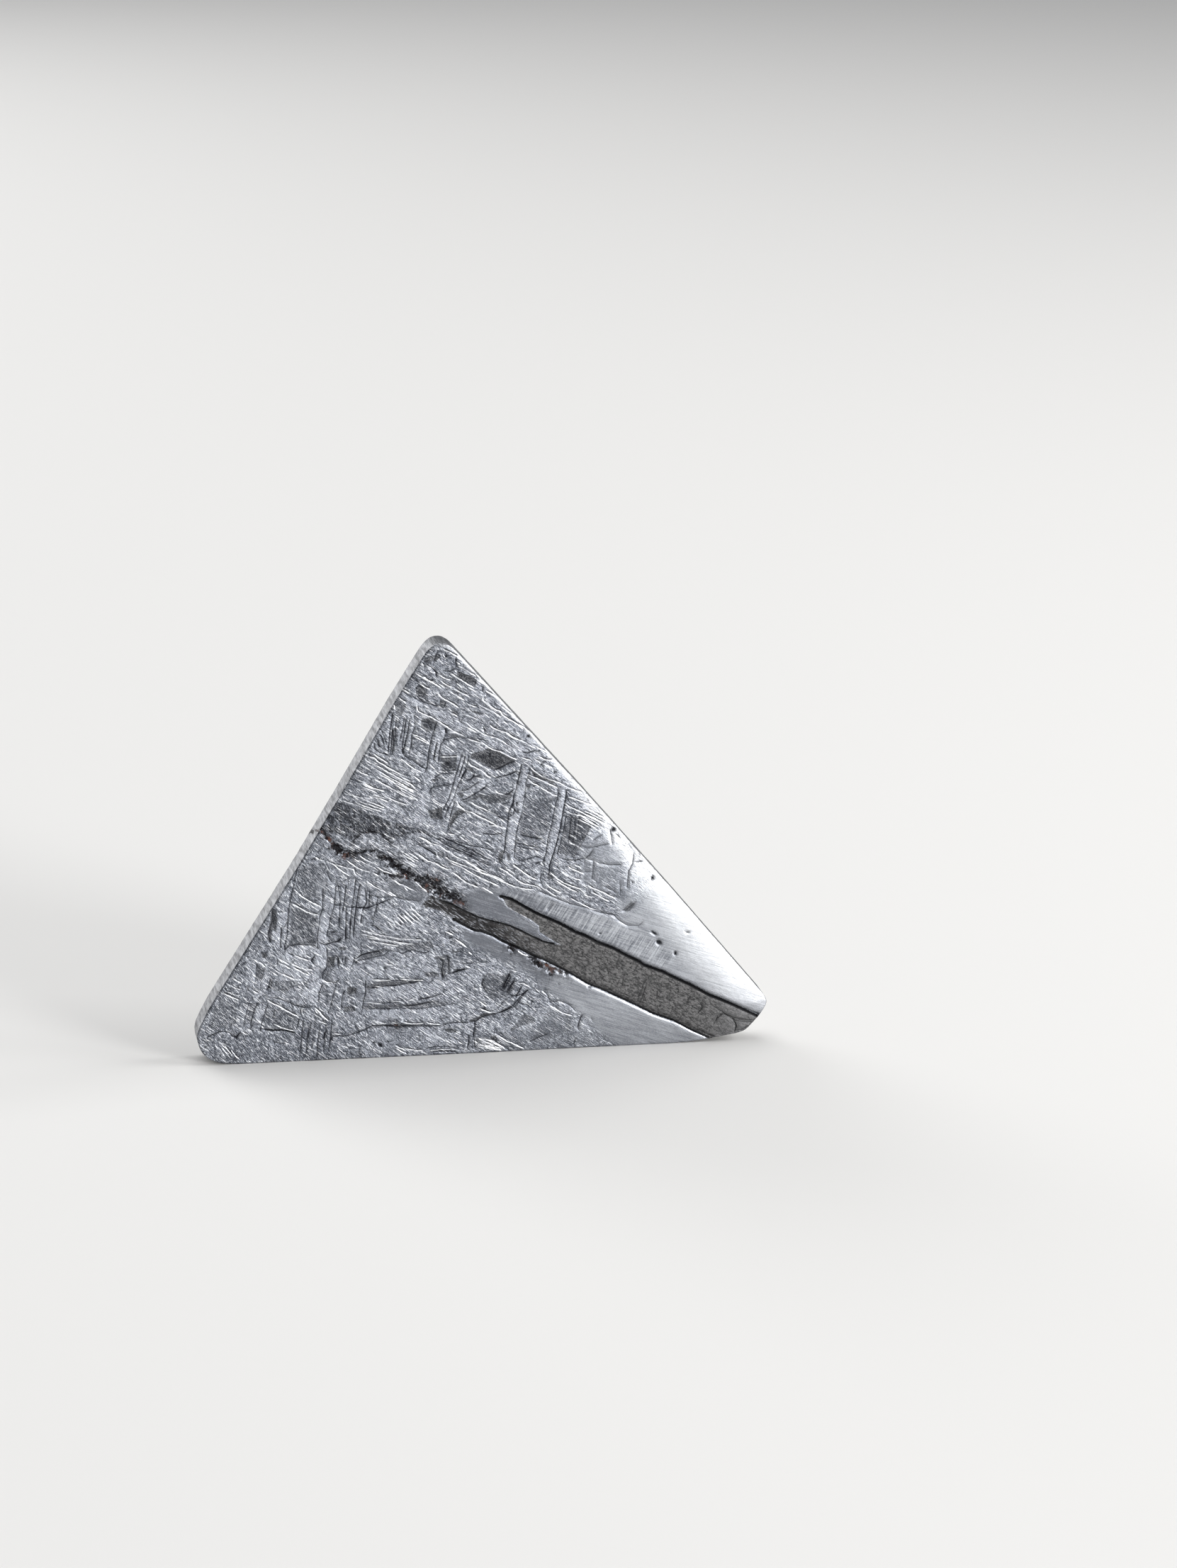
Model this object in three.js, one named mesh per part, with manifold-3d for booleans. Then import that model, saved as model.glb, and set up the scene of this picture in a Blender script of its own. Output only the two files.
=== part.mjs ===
import * as THREE from 'three';
import { mergeVertices } from 'three/addons/utils/BufferGeometryUtils.js';
import Module from 'manifold-3d';

// A rounded triangle sawn from an iron meteorite, standing on its long edge. The two sawn faces are
// etched, so nickel-rich rims stand up, the dark fields between the bars lie low, and a dark grey
// mineral band crosses the right half between two grooves.
// Face coordinates: x to the right, y up from the base, z out of the front face, in millimetres.

const wasm = await Module();
wasm.setup();

// Driving dimensions
const sliceThickness = 3.8;    // between the two etched faces
const edgeBevel = 0.2;         // broken edge all round both faces
const rimHeight = 0.1;         // nickel-rich rims above a face
const rimWidth = 0.24;
const seamDepth = 0.16;        // etched seams beside the bars
const seamWidth = 0.2;
const fieldDepth = 0.16;       // low fields between the bars
const bandDepth = 0.24;        // the mineral band below the metal
const grooveDepth = 0.5;       // the grooves along the band
const grooveWidth = 0.34;
const veinDepth = 0.4;         // the corroded vein at the left
const pitDepth = 0.4;
const centreShift = 0.2;       // brings the middle of the outline over the origin
const faceClearance = 0.5;     // how far a cutter reaches out of the face
const rimRoot = 0.24;          // how deep a rim is rooted in the slab

const cornerSteps = 3;         // straight steps in each span of a rounded corner
const apexSteps = 8;

// The outline: the base, the lifted right corner, two nearly straight sides and the rounded apex
const baseStart = [-26.6, 0];
const baseEnd = [20, 0];
const rightCorner = [[22.8, 0.17], [25.5, 0.56], [27.8, 1.0], [28.9, 1.95], [29.8, 3.05], [30.38, 4.2], [29.9, 5.2]];
const rightSide = [[20, 17.1], [10, 28.8], [-3.3, 43.95]];
const apexControl = [-5.24, 46.16];
const leftSide = [[-7, 43.2], [-10, 38.4], [-15.3, 29.3], [-20, 21.4], [-29, 7.1]];
const leftCorner = [[-30.1, 5.1], [-30.78, 3.2], [-30.2, 1.3], [-28.7, 0.28], [-26.6, 0]];

// Nickel-rich rims of the bars that run down to the right
const rims = [
  [[-4.9, 41.0], [-4.2, 40.4], [-3.4, 39.9]],
  [[-4.2, 41.8], [-2.6, 40.8], [-1.4, 40.0]],
  [[-7.7, 41.9], [-6.8, 41.2], [-5.6, 40.7]],
  [[-5.3, 39.5], [-4.2, 38.7], [-3.1, 37.9]],
  [[-3.8, 40.1], [-2.6, 39.4], [-1.7, 38.9]],
  [[-7.5, 38.4], [-7.2, 37.6], [-5.6, 36.8], [-3.8, 35.5], [-2.4, 34.8]],
  [[-0.6, 39.0], [0.1, 38.2], [1.4, 37.1], [3.0, 36.0], [4.4, 35.1]],
  [[-0.8, 38.0], [0.2, 37.6], [1.4, 36.8]],
  [[-2.4, 37.2], [-1.2, 36.6], [-0.3, 36.2]],
  [[-2.4, 36.5], [-1.6, 35.7], [0.0, 34.8], [1.8, 34.0], [3.1, 33.2]],
  [[0.1, 36.0], [1.2, 35.3], [3.2, 34.2], [5.1, 33.2]],
  [[-2.2, 34.6], [-0.4, 33.9], [0.6, 33.2], [2.1, 32.6], [3.1, 32.0]],
  [[-2.1, 32.1], [-1.3, 31.4], [0.4, 30.3]],
  [[-2.0, 32.5], [-0.6, 31.6], [0.3, 31.1]],
  [[4.5, 31.2], [5.8, 30.2], [7.5, 29.5], [10.0, 28.2]],
  [[4.1, 30.1], [5.2, 29.3], [7.2, 28.1]],
  [[4.8, 32.2], [6.2, 31.4], [7.0, 31.0]],
  [[-3.3, 27.9], [-2.4, 26.8], [-0.8, 26.0], [2.0, 24.6]],
  [[-1.9, 27.8], [-0.4, 26.9], [1.1, 26.1]],
  [[8.1, 27.3], [9.5, 26.4], [12.5, 24.7]],
  [[8.3, 26.4], [10.0, 25.7], [11.9, 24.4]],
  [[8.5, 27.9], [10.9, 26.9]],
  [[-9.2, 32.8], [-8.0, 31.7], [-6.9, 31.1]],
  [[-13.1, 33.4], [-11.5, 32.4], [-9.2, 31.0]],
  [[-13.0, 32.8], [-10.5, 31.3], [-7.6, 29.4]],
  [[-12.0, 30.6], [-10.0, 29.4], [-7.6, 28.2]],
  [[-15.0, 29.0], [-12.5, 27.9], [-10.0, 26.8]],
  [[-7.9, 22.6], [-6.4, 21.5], [-4.1, 20.4]],
  [[-6.0, 23.4], [-4.6, 22.7], [-3.2, 21.8], [-1.0, 20.8]],
  [[-4.6, 21.9], [-3.0, 21.0], [-0.1, 19.8], [1.9, 18.8], [4.9, 17.9]],
  [[-4.0, 21.2], [-1.6, 19.9], [1.2, 18.4]],
  [[-3.9, 20.2], [-2.5, 19.1], [-1.1, 18.4]],
  [[1.1, 20.5], [3.0, 19.1], [5.4, 18.2]],
  [[2.6, 20.8], [3.9, 19.8], [5.3, 18.9]],
  [[6.1, 18.6], [6.6, 18.1], [7.9, 17.4]],
  [[6.6, 19.8], [8.1, 18.5], [9.9, 17.8]],
  [[7.7, 19.9], [8.3, 19.5], [10.0, 18.7]],
  [[8.5, 20.4], [8.8, 20.1], [10.3, 19.4]],
  [[10.5, 18.2], [12.1, 17.4], [13.8, 16.5]],
  [[11.0, 17.4], [13.0, 16.2]],
  [[8.8, 16.8], [10.4, 15.9], [11.8, 15.3]],
  [[-17.1, 21.9], [-15.8, 21.0], [-14.6, 20.2]],
  [[-14.9, 21.9], [-14.1, 21.2], [-12.4, 20.5]],
  [[-11.8, 21.1], [-11.1, 20.6], [-10.1, 20.2]],
  [[-12.9, 19.6], [-11.1, 18.4], [-10.0, 17.8]],
  [[-20.5, 19.0], [-19.6, 18.1], [-17.6, 16.9]],
  [[-20.7, 17.4], [-19.2, 16.5], [-17.8, 16.0]],
  [[-12.2, 4.1], [-8.5, 3.9], [-5.0, 3.5]],
  [[-22.3, 11.4], [-18.6, 10.1]],
  [[-22.4, 10.2], [-20.3, 9.1]],
  [[-23.3, 7.0], [-22.4, 6.1], [-20.1, 5.0]],
];

// Etched seams along the steep bars and between the fields
const seams = [
  [[4.3, 31.0], [4.0, 29.2], [3.6, 26.4], [3.0, 23.6], [2.7, 21.2]],
  [[3.6, 31.8], [3.0, 29.0], [2.3, 26.5], [1.8, 22.2]],
  [[7.5, 29.1], [7.1, 26.8], [6.6, 24.2], [6.2, 22.0]],
  [[8.4, 28.8], [8.1, 26.6], [7.4, 23.1], [6.6, 20.4]],
  [[-5.4, 36.5], [-6.0, 34.5], [-6.3, 32.6], [-6.6, 31.0]],
  [[-4.4, 35.9], [-4.8, 34.3], [-5.2, 32.0]],
  [[-2.8, 33.0], [-3.5, 30.4], [-4.1, 28.2], [-4.8, 26.9]],
  [[-2.0, 33.0], [-2.5, 31.0], [-3.6, 28.2], [-4.3, 26.0]],
  [[-10.0, 37.8], [-10.3, 35.6], [-10.5, 33.2]],
  [[-8.2, 37.0], [-8.6, 34.9], [-9.0, 33.1]],
  [[-7.7, 37.5], [-8.0, 35.2], [-8.4, 33.1]],
  [[-20.1, 21.3], [-20.8, 18.2], [-21.2, 15.0], [-21.6, 12.4]],
  [[-17.4, 19.0], [-17.5, 16.8], [-18.0, 14.0], [-18.0, 12.4]],
  [[-16.0, 19.9], [-16.5, 16.4], [-17.0, 13.6]],
  [[-13.4, 19.4], [-13.9, 17.1], [-14.3, 13.4]],
  [[-15.0, 17.0], [-15.1, 13.1]],
  [[-21.5, 12.4], [-20.0, 12.9], [-18.1, 12.6]],
  [[-5.0, 34.4], [-3.3, 34.8], [-2.3, 34.5]],
  [[-7.9, 39.2], [-6.7, 38.6], [-5.4, 38.3], [-4.9, 38.0]],
  [[-3.2, 42.3], [-1.6, 41.6], [-0.6, 41.0]],
  [[0.4, 30.3], [1.6, 31.1], [3.0, 31.9]],
  [[-14.4, 10.3], [-13.6, 11.0], [-10.4, 11.8], [-8.8, 11.5], [-6.3, 11.4]],
  [[-12.9, 7.7], [-10.0, 8.0], [-6.8, 8.4]],
  [[-13.3, 5.4], [-9.0, 5.5], [-3.0, 5.7]],
  [[-16.5, 2.9], [-14.0, 2.6], [-11.5, 3.8], [-4.0, 3.4]],
  [[-2.0, 3.4], [1.5, 4.5], [4.4, 6.7]],
  [[-10.0, 1.3], [-7.0, 0.7], [-3.0, 0.9]],
  [[-25.3, 6.8], [-25.8, 4.9]],
  [[-23.4, 6.7], [-23.9, 4.2]],
  [[-18.0, 8.9], [-17.6, 6.2]],
  [[-16.2, 8.6], [-16.9, 5.4]],
  [[5.4, 17.7], [9.0, 16.1], [12.0, 15.1], [14.4, 13.9]],
];

// Low fields that etched deeper, each a closed polygon
const fields = [
  [[-3.3, 41.9], [-1.3, 40.9], [-1.4, 40.2], [-2.5, 40.8], [-3.4, 41.5]],
  [[-7.6, 40.2], [-7.0, 40.5], [-6.4, 40.0], [-6.6, 39.2], [-7.4, 39.2]],
  [[-7.0, 36.8], [-5.9, 36.9], [-5.4, 36.3], [-5.7, 35.6], [-6.5, 35.5], [-7.1, 36.0]],
  [[-1.7, 33.0], [-0.4, 33.3], [1.2, 33.0], [2.8, 32.1], [1.2, 31.3], [0.5, 31.2], [-0.4, 31.8], [-1.6, 32.5]],
  [[-5.0, 32.6], [-3.4, 32.6], [-3.4, 31.4], [-4.9, 31.3]],
  [[4.6, 30.9], [5.6, 30.3], [7.4, 29.4], [6.4, 29.6], [5.0, 30.3]],
  [[-6.4, 27.0], [-4.9, 27.4], [-4.8, 25.9], [-6.2, 26.1]],
  [[-4.0, 25.9], [-3.4, 26.8], [-2.1, 26.8], [-3.2, 26.2], [-4.3, 24.7]],
  [[4.2, 27.6], [6.8, 27.8], [6.3, 24.2], [5.2, 22.8], [3.4, 23.3], [3.6, 25.8]],
  [[8.6, 26.0], [11.0, 24.6], [9.2, 21.4], [7.9, 21.8]],
  [[-1.0, 28.1], [1.4, 28.4], [2.6, 28.6], [2.4, 27.9], [0.2, 27.4]],
  [[-21.0, 13.0], [-20.6, 16.9], [-18.1, 15.8], [-18.3, 13.0]],
  [[-20.2, 19.2], [-19.8, 21.5], [-17.4, 21.4], [-17.5, 17.8]],
  [[-23.7, 5.7], [-23.8, 3.9], [-20.4, 3.4], [-20.2, 4.8], [-22.2, 5.8]],
  [[-17.0, 11.3], [-16.3, 11.3], [-16.3, 10.2], [-17.0, 10.2]],
  [[-10.3, 35.4], [-10.2, 33.4], [-9.9, 33.4], [-9.6, 36.2]],
  [[-12.8, 11.5], [-9.9, 12.4], [-6.2, 12.7], [-6.6, 11.8], [-9.4, 12.0]],
  [[-22.9, 16.9], [-22.2, 15.9], [-22.6, 14.3], [-23.1, 15.4]],
];

// The speckled patch at the left edge
const patch = [
  [-18.2, 25.6], [-16.9, 28.2], [-15.6, 28.2], [-13.1, 27.2], [-11.3, 26.4], [-8.7, 25.5], [-6.6, 24.8],
  [-8.9, 24.4], [-10.4, 23.9], [-11.7, 24.7], [-13.5, 24.6], [-14.4, 24.0], [-16.3, 24.6],
];

// The mineral band: two lobes that meet around a tongue of metal, and run out at the right corner
const band = [
  [-7.1, 16.5], [-5.1, 16.0], [-3.5, 15.0], [-1.4, 13.8], [0.7, 13.1], [2.6, 12.0], [5.0, 10.7], [8.0, 9.2],
  [11.0, 7.3], [14.5, 5.6], [18.0, 3.7], [22.0, 1.8], [24.7, 0.2], [29.0, 0.2], [31.0, 2.6],
  [29.2, 2.8], [26.0, 4.4], [22.0, 6.5], [19.0, 8.1], [16.3, 9.4], [13.5, 11.0], [10.5, 12.5], [7.7, 14.0],
  [5.0, 15.3], [1.5, 17.3], [2.1, 16.2], [4.3, 14.8], [5.5, 13.9], [5.8, 13.0], [8.0, 11.6],
  [6.0, 12.2], [3.6, 13.4], [1.2, 14.4], [-1.0, 15.1], [-4.0, 16.8], [-6.0, 17.7],
];
const grooves = [
  [[-3.5, 14.9], [-1.4, 13.7], [0.7, 13.0], [2.6, 11.9], [5.0, 10.6], [8.0, 9.1], [11.0, 7.2], [14.5, 5.5],
    [18.0, 3.6], [22.0, 1.7], [25.2, 0.1]],
  [[1.4, 17.3], [5.0, 15.4], [7.7, 14.1], [10.5, 12.6], [13.5, 11.1], [16.3, 9.5], [19.0, 8.2], [22.0, 6.6],
    [26.0, 4.5], [30.4, 2.5]],
  [[-5.2, 17.3], [-4.0, 16.8], [-1.0, 15.1], [1.2, 14.4], [3.6, 13.4], [6.0, 12.2], [8.2, 11.4]],
];

// The corroded vein from the left edge to the band, and the notch where it meets the edge
const vein = [[-18.0, 25.8], [-16.4, 24.2], [-15.0, 22.6], [-13.0, 22.6], [-12.0, 22.9], [-10.4, 21.8], [-9.2, 20.4],
  [-7.0, 19.6], [-5.3, 18.9], [-3.8, 17.0]];
const veinWidth = 0.5;
const notch = [[-19.6, 25.6], [-17.9, 27.6], [-17.3, 26.4], [-17.9, 25.6]];
const notchDepth = 0.7;

// Pits: x, y, radius
const pits = [
  [17.4, 12.8, 0.28], [18.4, 11.5, 0.26], [20.2, 10.2, 0.17], [17.7, 18.6, 0.2], [13.4, 24.1, 0.24],
  [10.9, 6.8, 0.14], [4.2, 8.7, 0.12], [-23.8, 12.0, 0.22], [-11.5, 1.3, 0.16], [-4.0, 2.7, 0.18],
  [-4.4, 32.0, 0.22], [1.6, 21.8, 0.26], [2.1, 21.5, 0.24], [-6.2, 19.4, 0.3], [4.3, 34.6, 0.2],
];
const pitSides = 6;

// The back shows the same bars where they come out on the far side of the slab
const backSlant = { rims: [1.5, -1.1], seams: [-0.9, 0.1], band: [-1.1, -0.9], fields: [0.6, -0.7] };
const backRimStep = 2;         // one rim in two, so the back is a little plainer
const front = 1;
const back = -1;

const toVectors = (points) => points.map(([x, y]) => new THREE.Vector2(x, y));
const shifted = (points, [dx, dy]) => points.map(([x, y]) => [x + dx, y + dy]);

function sliceOutline() {
  const outline = new THREE.Shape();
  outline.moveTo(...baseStart);
  outline.lineTo(...baseEnd);
  outline.splineThru(toVectors(rightCorner));
  rightSide.forEach((point) => outline.lineTo(...point));
  const apex = new THREE.QuadraticBezierCurve(
    outline.currentPoint.clone(), new THREE.Vector2(...apexControl), new THREE.Vector2(...leftSide[0]));
  apex.getPoints(apexSteps).slice(1).forEach((point) => outline.lineTo(point.x, point.y));
  leftSide.slice(1).forEach((point) => outline.lineTo(...point));
  outline.splineThru(toVectors(leftCorner));
  return outline;
}

// A strip of one width along a line of points, pointed at both ends
function ribbon(points, width) {
  const centre = toVectors(points);
  const sides = [[], []];
  for (let i = 1; i < centre.length - 1; i += 1) {
    const along = centre[i + 1].clone().sub(centre[i - 1]).normalize();
    const across = new THREE.Vector2(-along.y, along.x).multiplyScalar(width / 2);
    sides[0].push(centre[i].clone().sub(across));
    sides[1].unshift(centre[i].clone().add(across));
  }
  if (centre.length === 2) {
    const middle = centre[0].clone().lerp(centre[1], 0.5);
    const along = centre[1].clone().sub(centre[0]).normalize();
    const across = new THREE.Vector2(-along.y, along.x).multiplyScalar(width / 2);
    sides[0].push(middle.clone().sub(across));
    sides[1].unshift(middle.clone().add(across));
  }
  return new THREE.Shape([centre[0], ...sides[0], centre[centre.length - 1], ...sides[1]]);
}

function toSolid(geometry) {
  geometry.deleteAttribute('normal');
  geometry.deleteAttribute('uv');
  const merged = mergeVertices(geometry);
  return new wasm.Manifold(new wasm.Mesh({
    numProp: 3,
    vertProperties: merged.attributes.position.array,
    triVerts: Uint32Array.from(merged.index.array),
  }));
}

function slab(thickness) {
  const geometry = new THREE.ExtrudeGeometry(sliceOutline(), {
    depth: thickness - 2 * edgeBevel,
    curveSegments: cornerSteps,
    bevelEnabled: true,
    bevelSegments: 1,
    bevelThickness: edgeBevel,
    bevelSize: edgeBevel,
    bevelOffset: -edgeBevel,
  });
  geometry.translate(0, 0, edgeBevel - thickness / 2);
  return toSolid(geometry);
}

// A prism on one face, from a depth under it to a height over it
function facePrism(shape, side, depth, height) {
  const geometry = new THREE.ExtrudeGeometry(shape, { depth: depth + height, bevelEnabled: false });
  const lowest = side === front ? sliceThickness / 2 - depth : -sliceThickness / 2 - height;
  geometry.translate(0, 0, lowest);
  return toSolid(geometry);
}

const cutter = (shape, side, depth) => facePrism(shape, side, depth, faceClearance);
const rimPrism = (points, side) => facePrism(ribbon(points, rimWidth), side, rimRoot, rimHeight);

function pitCutter([x, y, radius], side) {
  const shape = new THREE.Shape();
  for (let i = 0; i < pitSides; i += 1) {
    const turn = (2 * Math.PI * i) / pitSides;
    const point = [x + radius * Math.cos(turn), y + 0.8 * radius * Math.sin(turn)];
    if (i === 0) shape.moveTo(...point);
    else shape.lineTo(...point);
  }
  return cutter(shape, side, pitDepth);
}

const union = (solids) => wasm.Manifold.union(solids);

function etchFace(solid, side) {
  const onBack = side === back;
  const place = (points, family) => (onBack ? shifted(points, backSlant[family]) : points);
  const kept = rims.filter((points, i) => !onBack || i % backRimStep === 0);
  const closed = (points, family) => new THREE.Shape(toVectors(place(points, family)));

  const lowFields = union(fields.map((points) => cutter(closed(points, 'fields'), side, fieldDepth)));
  const lowPatch = cutter(closed(patch, 'fields'), side, fieldDepth);
  const raised = union(kept.map((points) => rimPrism(place(points, 'rims'), side)));
  const seamCuts = union(seams.map((points) => cutter(ribbon(place(points, 'seams'), seamWidth), side, seamDepth)));
  const bandCut = cutter(closed(band, 'band'), side, bandDepth);
  const grooveCuts = union(grooves.map(
    (points) => cutter(ribbon(place(points, 'band'), grooveWidth), side, grooveDepth)));
  const veinCut = cutter(ribbon(place(vein, 'band'), veinWidth), side, veinDepth);
  const pitCuts = union(pits.map((pit) => pitCutter(pit, side)));

  let etched = solid.subtract(lowFields).subtract(lowPatch);
  etched = etched.add(raised.intersect(slab(sliceThickness + 2 * rimHeight)));
  etched = etched.subtract(seamCuts).subtract(bandCut).subtract(grooveCuts);
  return etched.subtract(veinCut).subtract(pitCuts);
}

function ironSlice() {
  let solid = etchFace(slab(sliceThickness), front);
  solid = etchFace(solid, back);
  solid = solid.subtract(cutter(new THREE.Shape(toVectors(notch)), front, notchDepth));
  const mesh = solid.getMesh();
  const geometry = new THREE.BufferGeometry();
  geometry.setAttribute('position', new THREE.BufferAttribute(mesh.vertProperties, mesh.numProp));
  geometry.setIndex(new THREE.BufferAttribute(mesh.triVerts, 1));
  geometry.computeVertexNormals();
  return geometry;
}

const etchedIron = new THREE.MeshStandardMaterial({ color: 0x9a9ca2, roughness: 0.38, metalness: 1 });
const slice = new THREE.Mesh(ironSlice(), etchedIron);
slice.name = 'iron_slice';
slice.rotation.x = Math.PI / 2;   // stands the slice up, with its front face towards -Y
slice.position.x = centreShift;

const group = new THREE.Group();
group.add(slice);

export default group;
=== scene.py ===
import math

import bmesh
import bpy
import numpy as np
from mathutils import Matrix, Vector, noise


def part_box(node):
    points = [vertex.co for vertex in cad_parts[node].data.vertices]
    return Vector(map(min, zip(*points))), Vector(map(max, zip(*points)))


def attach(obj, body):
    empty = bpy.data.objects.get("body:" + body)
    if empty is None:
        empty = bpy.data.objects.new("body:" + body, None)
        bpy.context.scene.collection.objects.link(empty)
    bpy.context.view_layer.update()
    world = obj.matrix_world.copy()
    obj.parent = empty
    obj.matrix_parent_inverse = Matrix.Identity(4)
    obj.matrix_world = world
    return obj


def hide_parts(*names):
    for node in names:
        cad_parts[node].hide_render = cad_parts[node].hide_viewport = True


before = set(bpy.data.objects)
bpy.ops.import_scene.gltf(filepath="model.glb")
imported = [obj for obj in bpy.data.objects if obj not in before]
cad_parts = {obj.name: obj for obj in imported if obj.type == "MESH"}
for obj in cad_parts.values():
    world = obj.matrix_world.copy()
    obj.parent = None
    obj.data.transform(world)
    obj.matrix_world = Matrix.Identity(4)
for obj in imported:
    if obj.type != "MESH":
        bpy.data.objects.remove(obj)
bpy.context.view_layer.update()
mm = 0.001

# Face coordinates are x to the right and z up, in millimetres, with z = 0 at the base of the slice.
# The middle of the outline stands over the origin, so the part's own x is a little larger.
low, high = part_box("iron_slice")
centreShift = 0.2

slab = {
    "rimTop": (high.y - low.y) / mm / 2,    # outermost point of the etched rims, from the middle
    "faceInset": 0.1,                       # the ground face lies this far inside the rims
    "edgeRound": 0.14,
    "edgeSegments": 2,
    "outlineStep": 0.3,
    "frontCell": 0.16,
    "backCell": 0.24,
    "sideCell": 0.42,
    "cutTolerance": 1e-4,
}
slab["face"] = slab["rimTop"] - slab["faceInset"]

outline = {
    "baseStart": (-26.6, 0),
    "baseEnd": (20, 0),
    "rightCorner": [(22.8, 0.17), (25.5, 0.56), (27.8, 1.0), (28.9, 1.95), (29.8, 3.05), (30.38, 4.2),
                    (29.9, 5.2)],
    "rightSide": [(20, 17.1), (10, 28.8), (-3.3, 43.95)],
    "apexControl": (-5.24, 46.16),
    "leftSide": [(-7, 43.2), (-10, 38.4), (-15.3, 29.3), (-20, 21.4), (-29, 7.1)],
    "leftCorner": [(-30.1, 5.1), (-30.78, 3.2), (-30.2, 1.3), (-28.7, 0.28), (-26.6, 0)],
    "spanSteps": 8,
    "apexSteps": 16,
}

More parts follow.
